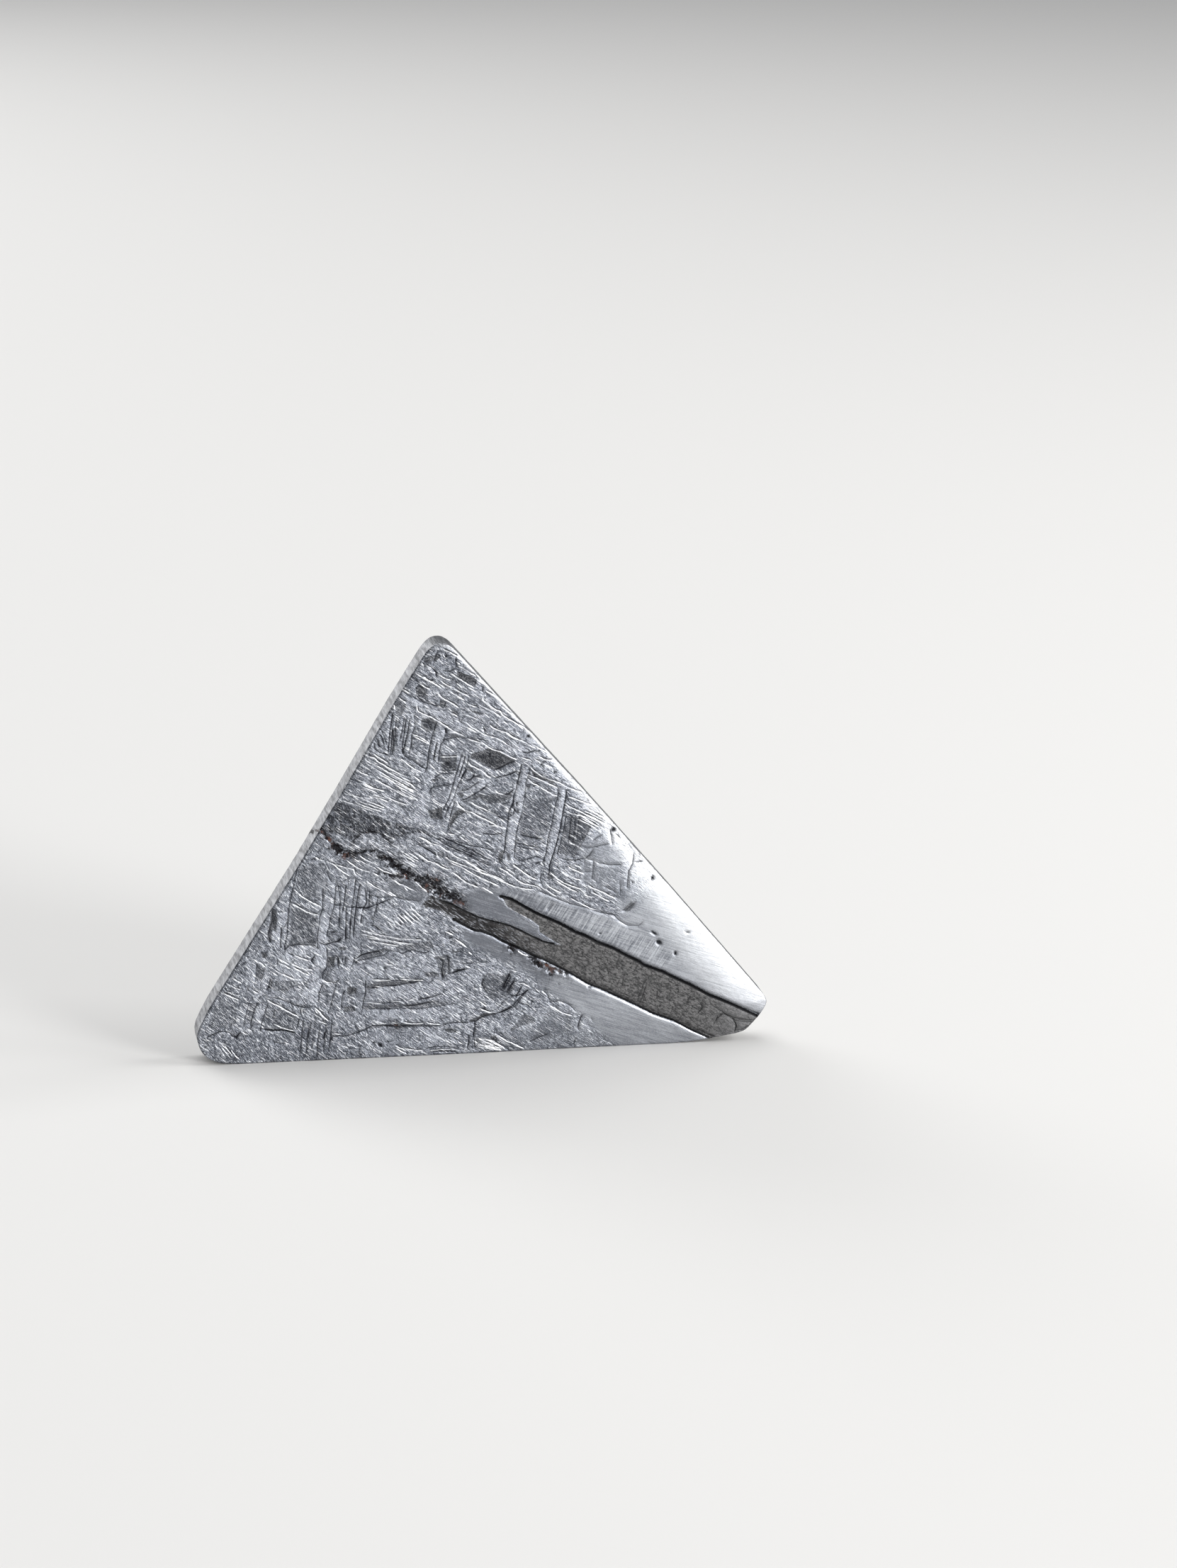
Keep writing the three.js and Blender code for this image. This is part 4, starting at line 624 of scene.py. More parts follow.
# Low dark fields between the bars: how dark, then a closed line of points
fields = [
    (1.0, [(-3.3, 41.9), (-2.2, 41.45), (-1.25, 40.9), (-1.4, 40.2), (-2.5, 40.8), (-3.3, 41.3)]),
    (0.9, [(-7.6, 40.2), (-7.1, 40.45), (-6.6, 40.0), (-6.5, 39.5), (-7.0, 39.2), (-7.6, 39.3)]),
    (0.75, [(-7.0, 36.8), (-5.9, 37.0), (-5.3, 36.4), (-5.6, 35.6), (-6.5, 35.5), (-7.1, 36.0)]),
    (1.0, [(-1.7, 33.0), (-0.6, 33.2), (0.0, 33.5), (1.2, 33.0), (2.2, 32.4), (2.9, 32.05), (2.2, 31.7),
           (1.2, 31.25), (0.5, 31.15), (-0.3, 31.65), (-1.0, 32.1), (-1.9, 32.5)]),
    (0.7, [(-5.0, 32.6), (-3.3, 32.6), (-3.4, 31.2), (-4.9, 31.1)]),
    (1.0, [(4.6, 30.9), (5.3, 30.6), (6.3, 30.0), (7.4, 29.4), (6.6, 29.5), (5.6, 29.95), (4.7, 30.4)]),
    (1.0, [(-6.4, 26.95), (-5.5, 27.05), (-4.85, 27.4), (-4.8, 25.9), (-6.1, 26.1)]),
    (1.0, [(-3.95, 25.9), (-3.6, 26.6), (-3.1, 27.0), (-2.0, 26.8), (-3.2, 26.3), (-4.25, 24.65)]),
    (0.3, [(4.1, 27.8), (6.95, 27.9), (6.5, 24.4), (5.4, 23.6), (4.9, 22.9), (3.2, 23.3), (3.5, 26.0)]),
    (0.55, [(8.5, 26.0), (10.0, 25.4), (11.0, 24.6), (10.0, 22.6), (9.2, 21.2), (7.6, 21.8)]),
    (0.7, [(-1.0, 28.1), (0.2, 28.5), (1.4, 28.3), (2.6, 28.7), (2.5, 28.0), (1.3, 27.5), (0.0, 27.5)]),
    (0.45, [(-21.1, 12.9), (-20.8, 16.9), (-20.0, 16.8), (-18.8, 16.1), (-17.9, 15.8), (-18.2, 12.9)]),
    (0.4, [(-20.3, 19.2), (-19.9, 21.4), (-17.4, 21.7), (-16.7, 21.2), (-17.3, 17.6), (-19.0, 18.0)]),
    (0.3, [(-23.7, 5.8), (-23.8, 3.9), (-20.5, 3.4), (-20.2, 4.8), (-22.2, 5.9)]),
    (1.0, [(-17.0, 11.4), (-16.2, 11.4), (-16.3, 10.25), (-17.0, 10.2)]),
    (0.7, [(-10.3, 35.4), (-10.2, 33.4), (-9.9, 33.4), (-9.6, 36.2)]),
    (0.6, [(-13.7, 11.5), (-12.6, 11.7), (-10.8, 12.2), (-10.6, 11.9), (-11.2, 11.5), (-12.4, 11.2),
           (-13.7, 11.0)]),
    (0.55, [(-9.8, 12.3), (-8.0, 12.5), (-6.2, 12.7), (-5.7, 12.0), (-6.5, 11.6), (-8.2, 11.95),
            (-9.0, 11.6), (-9.7, 11.95)]),
    (0.9, [(-22.9, 16.9), (-22.2, 15.9), (-22.5, 14.3), (-23.0, 15.4)]),
    (0.75, [(-12.9, 8.05), (-12.0, 8.3), (-10.0, 8.4), (-8.0, 8.4), (-6.9, 8.4), (-8.5, 8.15),
            (-10.0, 8.0), (-11.5, 8.0), (-12.9, 7.5)]),
    (0.6, [(-13.3, 5.9), (-11.5, 5.9), (-10.0, 5.9), (-8.0, 5.9), (-6.0, 5.95), (-3.2, 5.9), (-5.0, 5.6),
           (-7.5, 5.4), (-10.0, 5.5), (-13.3, 5.5)]),
    (1.0, [(-14.9, 8.0), (-13.9, 7.9), (-14.0, 7.25), (-15.0, 7.15)]),
    (0.9, [(-15.3, 5.85), (-14.2, 5.85), (-14.1, 5.3), (-15.3, 5.25)]),
    (0.8, [(-15.9, 12.5), (-15.1, 12.4), (-15.1, 12.05), (-15.8, 12.05)]),
    (0.95, [(-24.0, 12.2), (-23.4, 12.2), (-23.4, 11.55), (-23.9, 11.6)]),
    (0.6, [(-24.4, 10.9), (-23.6, 10.4), (-23.9, 9.1), (-24.5, 9.1)]),
    (0.7, [(-12.9, 3.2), (-12.2, 3.55), (-11.3, 3.7), (-10.4, 3.65), (-9.6, 3.6), (-8.0, 3.55),
           (-5.2, 3.35), (-8.0, 3.3), (-9.7, 3.2), (-11.0, 3.5), (-12.2, 3.3)]),
    (0.9, [(-4.6, 2.9), (-3.9, 2.95), (-3.3, 2.75), (-3.3, 2.45), (-4.0, 2.4), (-4.5, 2.55)]),
    (0.5, [(0.7, 7.9), (2.0, 8.8), (3.0, 7.2), (1.9, 5.9), (0.6, 6.6)]),
    (0.55, [(3.2, 3.3), (3.8, 3.9), (5.1, 3.7), (4.9, 3.1), (3.8, 2.9), (2.4, 2.3)]),
    (0.25, [(5.4, 2.9), (6.5, 4.4), (8.6, 3.6), (9.0, 2.2), (7.0, 1.2), (4.8, 1.0)]),
    (0.7, [(-5.8, 10.9), (-4.2, 11.1), (-4.1, 9.8), (-4.8, 8.4), (-5.2, 9.4), (-5.4, 10.2)]),
    (0.9, [(-5.0, 38.8), (-4.5, 38.7), (-4.7, 38.1), (-5.1, 38.2)]),
    (0.9, [(-3.95, 37.8), (-3.4, 37.6), (-3.0, 37.2), (-3.5, 37.2)]),
    (0.7, [(14.4, 15.2), (15.3, 16.1), (15.8, 15.9), (15.3, 15.2), (14.8, 15.0)]),
    (0.9, [(1.2, 22.2), (1.8, 22.4), (1.6, 21.5), (1.3, 20.9), (1.0, 21.2)]),
    (0.9, [(2.0, 22.1), (2.4, 21.8), (2.3, 21.1), (2.0, 21.3)]),
    (0.8, [(6.4, 19.6), (7.0, 19.3), (7.0, 18.95), (6.3, 19.0)]),
    (0.8, [(9.1, 17.7), (9.6, 17.7), (9.7, 17.3), (9.2, 17.5)]),
    (0.7, [(2.9, 30.9), (3.5, 30.8), (3.4, 30.3), (3.0, 30.5)]),
    (0.8, [(-4.9, 43.9), (-5.4, 43.7), (-6.6, 43.4), (-6.9, 42.9), (-5.9, 43.0), (-5.2, 43.2)]),
    (0.5, [(-9.5, 38.9), (-9.0, 38.6), (-8.6, 38.2), (-9.2, 37.2), (-9.7, 37.6), (-9.8, 38.6)]),
    (0.35, [(-11.9, 35.2), (-11.1, 35.3), (-11.0, 34.3), (-11.6, 34.2)]),
    (0.9, [(-1.75, 37.6), (-1.2, 37.5), (-0.6, 37.2), (-0.5, 37.05), (-1.1, 37.15), (-1.7, 37.4)]),
    (0.6, [(-4.2, 35.2), (-3.5, 35.05), (-2.7, 34.8), (-3.8, 34.75), (-4.2, 34.9)]),
    (0.7, [(-4.8, 40.6), (-4.4, 40.5), (-4.35, 40.15), (-4.75, 40.2)]),
    (0.6, [(-5.4, 22.3), (-5.0, 22.6), (-4.6, 22.3), (-4.7, 21.8), (-5.1, 21.7)]),
    (0.9, [(-2.9, 27.75), (-1.9, 28.05), (-1.0, 28.5), (0.0, 28.6), (-0.6, 28.3), (-1.4, 28.0),
           (-2.2, 27.75)]),
    (0.8, [(-6.1, 30.3), (-5.3, 30.5), (-4.6, 30.9), (-4.9, 30.5), (-5.8, 30.0)]),
    (0.9, [(-5.5, 24.0), (-5.1, 23.95), (-4.9, 23.7), (-5.3, 23.7)]),
    (0.8, [(-22.9, 17.1), (-22.3, 16.8), (-22.6, 15.4), (-22.9, 14.2), (-22.95, 13.3), (-23.4, 13.5),
           (-23.2, 14.8), (-22.9, 16.0)]),
    (0.5, [(-25.2, 6.6), (-24.6, 6.6), (-25.2, 4.3), (-25.7, 4.6)]),
    (0.35, [(-28.6, 7.2), (-26.6, 6.8), (-26.8, 4.2), (-29.9, 4.0)]),
    (0.25, [(-18.0, 8.3), (-17.3, 8.4), (-16.3, 5.8), (-17.2, 5.9)]),
    (0.4, [(-22.6, 9.0), (-20.0, 8.9), (-21.5, 7.6), (-22.9, 8.0)]),
    (0.8, [(-4.5, 11.1), (-4.05, 11.0), (-4.0, 9.1), (-4.5, 9.2)]),
    (0.8, [(-6.8, 9.3), (-5.3, 9.2), (-5.1, 8.7), (-6.6, 8.7)]),
    (0.6, [(0.95, 8.5), (2.1, 8.4), (2.0, 6.4), (1.0, 6.6)]),
    (0.8, [(0.35, 1.9), (1.0, 1.85), (1.05, 1.1), (0.4, 1.15)]),
    (0.9, [(-12.3, 1.8), (-12.05, 1.8), (-12.05, 1.6), (-12.3, 1.6)]),
    (0.9, [(-2.0, 3.7), (-1.2, 3.95), (-0.4, 4.45), (0.4, 4.35), (1.2, 4.45), (0.8, 4.15), (0.0, 4.1),
           (-0.6, 3.95), (-1.3, 3.5), (-1.9, 3.45)]),
    (0.5, [(-0.6, 8.7), (0.2, 8.9), (1.2, 8.6), (1.9, 8.3), (1.6, 7.0), (1.9, 6.2), (0.3, 5.9),
           (-0.2, 6.6), (-0.7, 7.4)]),
    (0.35, [(8.3, 3.7), (9.0, 3.5), (8.9, 2.3), (8.1, 2.3)]),
    (0.6, [(3.6, 4.0), (4.2, 4.1), (5.0, 3.7), (4.8, 3.3), (4.0, 3.3), (3.5, 2.9), (2.6, 2.2), (2.3, 2.4),
           (3.4, 3.3)]),
    (0.8, [(-2.25, 31.6), (-1.9, 31.5), (-1.5, 31.15), (-1.75, 31.0), (-2.15, 31.1)]),
    (0.8, [(-3.3, 28.8), (-2.7, 28.75), (-2.5, 28.5), (-2.9, 28.15), (-3.2, 28.4)]),
    (0.7, [(3.95, 29.4), (4.5, 29.45), (4.5, 28.9), (4.1, 28.85)]),
    (0.7, [(-25.55, 8.6), (-25.25, 8.5), (-25.3, 8.05), (-25.55, 8.1)]),
    (0.8, [(-22.95, 9.3), (-22.75, 8.9), (-22.95, 8.3), (-23.4, 8.05), (-23.25, 8.5), (-23.05, 8.9)]),
    (0.7, [(-12.5, 15.75), (-12.1, 15.65), (-12.1, 15.2), (-12.4, 15.3)]),
    (0.8, [(-12.1, 14.75), (-11.8, 14.6), (-11.3, 14.1), (-11.8, 14.15)]),
]

# Bars that are lighter than the rest, or darker where the number is below zero
tints = [
    (-0.4, [(9.8, 22.5), (12.5, 24.0), (14.5, 21.5), (15.5, 18.0), (14.6, 16.0), (13.9, 16.6),
            (10.3, 18.9), (10.2, 21.0)]),
    (-0.35, [(-11.0, 18.3), (-9.8, 19.4), (-8.2, 19.5), (-6.7, 18.0), (-7.1, 17.0), (-9.0, 17.5),
             (-10.2, 17.8)]),
    (0.3, [(-14.0, 24.0), (-13.2, 24.7), (-12.1, 24.8), (-11.1, 24.4), (-10.6, 23.2), (-11.6, 22.8),
           (-13.6, 23.0)]),
    (0.5, [(-21.2, 20.5), (-21.9, 18.5), (-22.2, 15.5), (-22.6, 13.0), (-21.7, 12.6), (-21.3, 15.0),
           (-20.9, 18.5)]),
    (0.6, [(-17.9, 16.0), (-17.0, 16.3), (-16.8, 15.0), (-17.1, 13.2), (-18.1, 13.2)]),
    (0.5, [(-21.5, 12.5), (-18.2, 12.6), (-18.3, 11.5), (-21.3, 11.5)]),
    (0.5, [(-18.0, 12.6), (-17.2, 12.6), (-17.1, 10.4), (-17.7, 9.8), (-18.0, 7.8), (-18.6, 6.6),
           (-19.6, 7.2), (-19.0, 9.5), (-18.4, 11.3)]),
    (0.5, [(-22.3, 11.8), (-19.0, 11.8), (-19.0, 9.0), (-22.3, 9.2)]),
    (0.3, [(-25.6, 12.8), (-24.6, 12.8), (-24.6, 8.5), (-25.6, 8.6)]),
    (0.3, [(-17.4, 10.0), (-14.8, 10.0), (-14.8, 8.8), (-17.4, 8.8)]),
    (0.4, [(-12.8, 10.8), (-5.2, 11.2), (-5.4, 9.0), (-12.8, 8.9)]),
    (0.35, [(-13.0, 7.7), (-5.2, 8.2), (-5.0, 6.9), (-13.0, 6.3)]),
    (0.4, [(-13.4, 5.2), (-3.2, 5.4), (-2.6, 4.1), (-12.0, 4.2)]),
    (0.3, [(-13.8, 2.9), (-3.0, 2.9), (-3.0, 1.2), (-12.0, 1.1)]),
    # darker along the lower left edge
    (-0.3, [(-29.5, 3.3), (-27.2, 3.4), (-24.0, 3.2), (-20.5, 3.2), (-17.0, 3.4), (-16.6, 0.3),
            (-27.0, 0.3), (-29.0, 1.2)]),
    # painted highlight along the lower side of the band's lower groove
    (0.5, [(9.0, 8.3), (11.0, 7.0), (14.5, 5.3), (18.0, 3.4), (20.3, 2.5), (22.0, 1.5), (24.3, 0.2),
           (23.7, 0.2), (22.0, 1.15), (20.2, 2.15), (18.0, 3.05), (14.4, 4.95), (11.0, 6.65), (9.0, 7.9)]),
    (0.6, [(3.5, 2.9), (4.8, 3.05), (4.9, 2.75), (4.2, 2.4), (3.8, 2.4)]),
    (-0.35, [(-2.0, 12.1), (-0.2, 11.6), (0.0, 10.2), (-3.9, 10.2), (-4.0, 11.2)]),
    (-0.25, [(-0.5, 1.9), (9.4, 4.0), (9.4, 0.2), (0.2, 0.2)]),
    (0.4, [(-18.1, 21.2), (-17.1, 21.4), (-16.9, 12.7), (-17.4, 6.2), (-18.6, 6.2), (-18.2, 12.7)]),
    (0.35, [(-23.2, 14.6), (-22.5, 14.4), (-23.6, 8.5), (-24.5, 3.6), (-25.2, 3.8), (-24.4, 9.0)]),
    (-0.25, [(-21.0, 12.6), (-18.3, 12.9), (-18.4, 16.2), (-20.6, 16.4)]),
    (-0.3, [(-26.6, 7.6), (-25.4, 7.4), (-26.2, 4.2), (-27.6, 4.0)]),
    (-0.25, [(-16.9, 5.0), (-16.2, 3.0), (-17.0, 0.3), (-20.6, 0.3), (-20.0, 4.8)]),
    (-0.3, [(-26.4, 11.35), (-25.6, 11.3), (-25.75, 9.75), (-26.9, 9.75)]),
    (-0.3, [(-11.9, 17.2), (-11.1, 17.2), (-11.3, 16.2), (-11.9, 15.9)]),
    # upper bars
    (0.4, [(-5.3, 36.5), (-4.4, 36.4), (-6.2, 28.0), (-6.9, 25.6), (-7.8, 25.8), (-6.6, 30.5)]),
    (0.35, [(-2.7, 33.2), (-1.9, 33.0), (-3.2, 28.6), (-4.1, 24.9), (-4.9, 25.0), (-3.9, 28.8)]),
    (0.45, [(3.5, 31.3), (4.2, 31.0), (3.3, 25.5), (2.8, 21.0), (1.8, 21.1), (2.3, 25.5)]),
    (0.45, [(7.9, 29.2), (8.7, 29.0), (7.4, 24.0), (6.9, 20.5), (6.0, 20.8), (6.6, 24.5)]),
    (0.35, [(-7.6, 38.8), (-4.0, 37.2), (0.0, 35.6), (4.8, 33.1), (4.5, 32.2), (0.0, 34.3), (-4.4, 36.2),
            (-7.6, 37.6)]),
    (0.3, [(-3.4, 27.4), (-2.9, 28.6), (0.4, 30.9), (0.6, 30.1), (-1.6, 28.6)]),
    (-0.3, [(4.3, 28.9), (7.5, 28.4), (7.0, 24.6), (3.6, 24.2)]),
    (-0.35, [(9.0, 27.6), (12.0, 25.2), (10.4, 23.0), (7.6, 23.0)]),
    (-0.3, [(-1.8, 27.6), (0.4, 29.4), (2.9, 30.2), (2.4, 25.0), (-0.5, 26.4)]),
    (-0.3, [(-5.9, 33.0), (-3.1, 33.2), (-4.2, 29.4), (-6.3, 29.2)]),
    (-0.3, [(-7.9, 35.9), (-6.0, 35.6), (-6.6, 31.9), (-8.6, 32.6)]),
    (-0.3, [(-1.6, 32.6), (3.2, 32.2), (3.0, 30.6), (0.4, 30.9)]),
    # beside the band
    (-0.35, [(-4.0, 17.0), (-1.5, 18.1), (2.0, 17.6), (1.4, 17.2), (2.1, 16.2), (5.5, 13.9), (7.9, 11.7),
             (4.8, 12.9), (1.2, 14.5), (-2.5, 16.1)]),
    (-0.3, [(-2.8, 14.4), (0.7, 12.9), (5.0, 10.6), (8.0, 9.0), (6.2, 6.7), (3.4, 9.6), (0.4, 10.6),
            (-2.2, 12.4)]),
    (-0.2, [(8.0, 16.6), (2.0, 18.2), (1.6, 17.4), (7.7, 14.2), (11.5, 12.2), (12.0, 14.6)]),
]

# The speckled patch at the left edge
patch = [
    (-18.6, 25.6), (-16.9, 28.2), (-15.6, 28.3), (-14.2, 27.7), (-13.1, 27.2), (-11.3, 26.4), (-10.2, 25.9),
    (-8.7, 25.5), (-6.6, 24.8), (-5.2, 23.9), (-6.0, 24.0), (-7.3, 24.5), (-8.9, 24.4), (-9.6, 24.0),
    (-10.4, 23.9), (-10.9, 24.4), (-11.7, 24.7), (-13.0, 24.8), (-13.6, 24.6), (-14.2, 24.1), (-15.3, 24.5),
    (-16.4, 24.8),
]

# The mineral band: two lobes around a tongue of metal, with a groove along each side
band = {
    "depth": 0.14,
    "outline": [
        (-7.1, 16.5), (-6.0, 16.3), (-5.1, 16.0), (-4.2, 15.5), (-3.5, 15.0), (-2.5, 14.4), (-1.4, 13.8),
        (0.7, 13.1), (1.6, 12.5), (2.6, 12.0), (5.0, 10.7), (8.0, 9.2), (11.0, 7.3), (14.5, 5.6),
        (18.0, 3.7),
        (20.3, 2.8), (22.0, 1.8), (24.7, 0.2), (29.0, -0.4), (32.0, 2.6), (29.4, 2.75), (28.0, 3.45),
        (26.0, 4.4), (24.0, 5.3), (22.0, 6.5), (20.0, 7.55), (19.0, 8.1), (17.0, 8.9), (16.3, 9.4),
        (13.5, 11.0), (10.5, 12.5), (8.5, 13.4), (7.7, 14.0), (5.0, 15.3), (2.5, 16.9), (1.5, 17.3),
        (1.8, 16.8), (2.1, 16.2), (3.2, 15.4), (4.3, 14.8), (4.9, 14.4), (5.5, 13.9), (5.6, 13.2),
        (6.3, 12.7), (7.0, 12.2), (8.0, 11.6), (7.0, 11.8), (6.0, 12.1), (4.8, 12.8), (3.6, 13.4),
        (2.4, 14.0),
        (1.2, 14.4), (0.0, 14.8), (-1.0, 15.1), (-2.5, 15.9), (-4.0, 16.8), (-5.1, 17.3), (-6.0, 17.7),
        (-6.6, 17.2),
    ],
}
grooves = {
    "depth": 0.34,
    # half width, then the line
    "lines": [
        (0.15, [(-3.6, 15.0), (-2.5, 14.35), (-1.4, 13.7), (-0.5, 13.55), (0.7, 13.0), (1.6, 12.4),
                (2.6, 11.9), (4.0, 11.2), (5.0, 10.6), (6.0, 10.2), (8.0, 9.1), (9.0, 8.5), (11.0, 7.2),
                (12.0, 6.8), (14.5, 5.5), (16.4, 4.5), (18.0, 3.6), (20.3, 2.7), (22.0, 1.7), (24.6, 0.4),
                (25.4, 0.0)]),
        (0.17, [(1.4, 17.3), (2.5, 16.95), (5.0, 15.4), (6.4, 14.7), (7.7, 14.1), (9.5, 13.0),
                (10.5, 12.6), (12.0, 11.7), (13.5, 11.1), (15.0, 10.2), (16.3, 9.5), (17.0, 9.0),
                (19.0, 8.2), (20.0, 7.6), (22.0, 6.6), (24.0, 5.4), (26.0, 4.5), (28.0, 3.5), (29.3, 2.85),
                (30.6, 2.3)]),
        (0.11, [(-5.0, 17.1), (-4.0, 16.75), (-2.5, 15.9), (-1.0, 15.1), (0.0, 14.75), (1.25, 14.4),
                (2.4, 14.0), (3.6, 13.4), (4.75, 12.75), (6.0, 12.1), (7.2, 11.8)]),
        (0.08, [(-4.8, 16.9), (-3.6, 16.0), (-2.6, 15.4), (-1.4, 15.0), (-0.6, 14.4), (0.3, 14.0)]),
    ],
}

# The corroded vein from the left edge to the band, and the rusty spots along the band's lower side
vein = {
    "depth": 0.1,
    # half width, then the line
    "lines": [
        (0.16, [(-18.2, 25.7), (-17.3, 25.0), (-16.6, 24.1), (-16.2, 23.6)]),
        (0.32, [(-16.2, 23.6), (-15.6, 22.9), (-15.0, 22.55), (-14.2, 22.5)]),
        (0.08, [(-14.4, 23.9), (-13.75, 24.4), (-13.2, 24.8), (-12.1, 24.9), (-11.25, 24.55),
                (-10.8, 24.1), (-10.25, 23.7)]),
        (0.09, [(-14.1, 22.5), (-13.0, 22.8), (-11.9, 22.85), (-11.25, 22.5), (-10.5, 21.95)]),
        (0.2, [(-11.5, 22.2), (-10.6, 21.9), (-9.8, 21.7)]),
        (0.45, [(-10.2, 21.3), (-9.5, 20.8), (-8.8, 20.3), (-8.0, 19.95)]),
        (0.14, [(-11.0, 20.3), (-10.0, 20.0), (-9.0, 19.85)]),
        (0.12, [(-8.6, 19.65), (-8.1, 19.6), (-7.0, 19.2), (-5.9, 18.6)]),
        (0.25, [(-7.6, 19.75), (-6.6, 19.6), (-5.2, 19.3)]),
        (0.55, [(-6.3, 18.9), (-5.5, 18.4), (-4.9, 18.0)]),
        (0.3, [(-5.0, 18.3), (-4.2, 17.6), (-3.3, 17.1), (-2.6, 16.6)]),
        (0.3, [(-3.7, 17.9), (-3.2, 17.6)]),
        (0.3, [(2.55, 11.6), (2.75, 11.4)]),
        (0.18, [(4.5, 10.45), (5.0, 10.35)]),
        (0.26, [(5.1, 9.9), (5.9, 9.3)]),
        (0.28, [(6.3, 9.5), (6.8, 8.8)]),
        (0.16, [(7.0, 9.1), (7.8, 8.7), (8.5, 8.4)]),
        (0.1, [(-10.1, 3.65), (-9.7, 3.55)]),
    ],
}

# Bright smooth metal on both sides of the band and over the right end
swaths = [
    [(-1.5, 18.1), (1.5, 18.3), (5.4, 17.7), (9.0, 16.1), (12.0, 15.1), (14.1, 14.1), (15.2, 14.6),
     (17.0, 16.6), (18.6, 19.6), (22.0, 18.0), (34.0, 4.0), (29.4, 2.9), (19.0, 8.2), (7.7, 14.1),
     (1.5, 17.3), (3.2, 15.4), (5.5, 13.9), (5.8, 13.0), (8.0, 11.6), (6.0, 12.2), (2.4, 14.1),
     (-2.0, 15.8), (-4.0, 17.0)],
    [(-2.8, 14.4), (0.7, 12.9), (5.0, 10.6), (11.0, 7.2), (18.0, 3.6), (25.4, -0.3), (14.5, -0.3),
     (11.8, 2.2), (9.4, 4.4), (7.8, 5.6), (6.2, 6.7), (5.2, 7.9), (3.4, 9.6), (0.4, 10.6), (-2.2, 12.4)],
]
# Bars that are only partly smooth: how far, then the outline
partSmooth = [
    (0.12, [(9.8, 22.5), (12.5, 24.0), (15.0, 21.5), (19.0, 18.0), (15.5, 14.8), (14.2, 14.6),
            (13.9, 16.6), (10.3, 18.9), (10.2, 21.0)]),
    (0.12, [(-11.0, 18.3), (-9.8, 19.4), (-8.2, 19.5), (-6.7, 18.0), (-7.1, 17.0), (-9.0, 17.5),
            (-10.2, 17.8)]),
    (-0.25, [(2.0, -0.3), (2.4, 2.6), (6.0, 4.6), (9.4, 4.4), (11.8, 2.2), (14.5, -0.3)]),
]
# The fine lines that run across the upper swath
comb = [
    (0.6, 18.0), (5.4, 17.5), (9.0, 15.9), (12.0, 14.9), (15.0, 13.2), (18.0, 11.9), (20.4, 9.6),
    (19.0, 8.3),
    (13.5, 11.2), (7.7, 14.2), (1.6, 17.2),
]

# Pits: x and z, half the width and the height, and the turn in degrees
pits = [
    (17.9, 12.55, 0.42, 0.17, -35), (18.45, 11.5, 0.38, 0.28, -40), (20.25, 10.2, 0.22, 0.24, 0),
    (21.5, 12.5, 0.3, 0.08, -15), (17.7, 18.6, 0.16, 0.3, -20), (13.45, 24.1, 0.3, 0.24, 0),
    (10.95, 6.8, 0.16, 0.12, 0), (7.7, 7.4, 0.12, 0.08, 0), (4.25, 8.7, 0.09, 0.08, 0),
    (-11.45, 1.4, 0.34, 0.2, -40), (-10.95, 9.95, 0.16, 0.12, 0), (-4.35, 31.95, 0.26, 0.18, 0),
    (4.3, 34.6, 0.2, 0.18, 0), (7.1, 30.6, 0.2, 0.12, 0), (10.1, 23.4, 0.16, 0.1, 0),
    (15.5, 18.25, 0.12, 0.12, 0), (3.1, 27.3, 0.1, 0.3, 0), (3.2, 26.6, 0.1, 0.2, 0),
    (-12.1, 1.7, 0.14, 0.1, 0), (-6.9, 41.8, 0.1, 0.08, 0), (12.1, 12.8, 0.14, 0.08, 0),
]

relief = {
    "crownWidth": (1.4, 4.4),   # the ground face falls away a little towards its edge, more so at the right
    "crownDrop": (0.08, 0.34),
    "crownSpan": (-4, 16),
    "edgeHighlightWidth": (0.5, 6.4),    # painted highlight along the edge, widest at the right
    "edgeHighlightSpan": (5, 25),
    "edgeHighlightFromLeft": (-7, -3),
    "edgeHighlightFromBase": (2, 7),
    "edgeOutlineStep": 1.0,
    "fieldDepth": 0.06,
    "fieldEdge": (-0.05, 0.1),
    "patchDepth": 0.05,
    "patchEdge": (-0.1, 0.2),
    "bandEdge": (-0.08, 0.1),
    "bandSpeckle": 0.25,
    "tintEdge": (-0.12, 0.15),
    "westDepth": 0.4,           # share of the band's depth at its narrow west end
    "westSpan": (4, 12),
    "backGroove": (1.5, 0.3),   # on the coarser back: how much wider a groove is, and its share of the depth
    "grooveReach": 1.5,
    "veinReach": 3.0,
    "veinEdge": (1.3, 0.5),
    "veinRagged": 1.2,
    "pitDepth": 0.09,
    "pitEdge": (0.7, 1.25),
    "grain": 0.006,
    "grainScale": 2.1,
    "speckleScale": 5.5,
    "sideGrain": 0.02,
    "sideScale": (1.3, 1.8, 1.3),
    "sideMiddle": 15,           # height of the point that the sides wear towards
    "sideFoot": 0.3,            # nothing lower than this moves, so the base stays flat
    "reach": 0.34,              # how far from its middle a line is still felt
    "fullReach": 0.2,
    "taper": (-0.05, 0.3),      # how a line fades at its ends
    "channels": 6,
    "sampleStep": 0.2,
    "insideReach": 4.0,
}

lineStrength = {"least": 0.65, "spread": 0.35, "step": 0.618, "packet": 0.75}
packetLook = {"slip": 0.15, "bend": 0.05}

# Where the same bars come out on the back, 4 mm further into the slab
backSlant = {"rims": (1.5, -1.1), "seams": (-0.9, 0.1), "band": (-1.1, -0.9), "fields": (0.6, -0.7)}


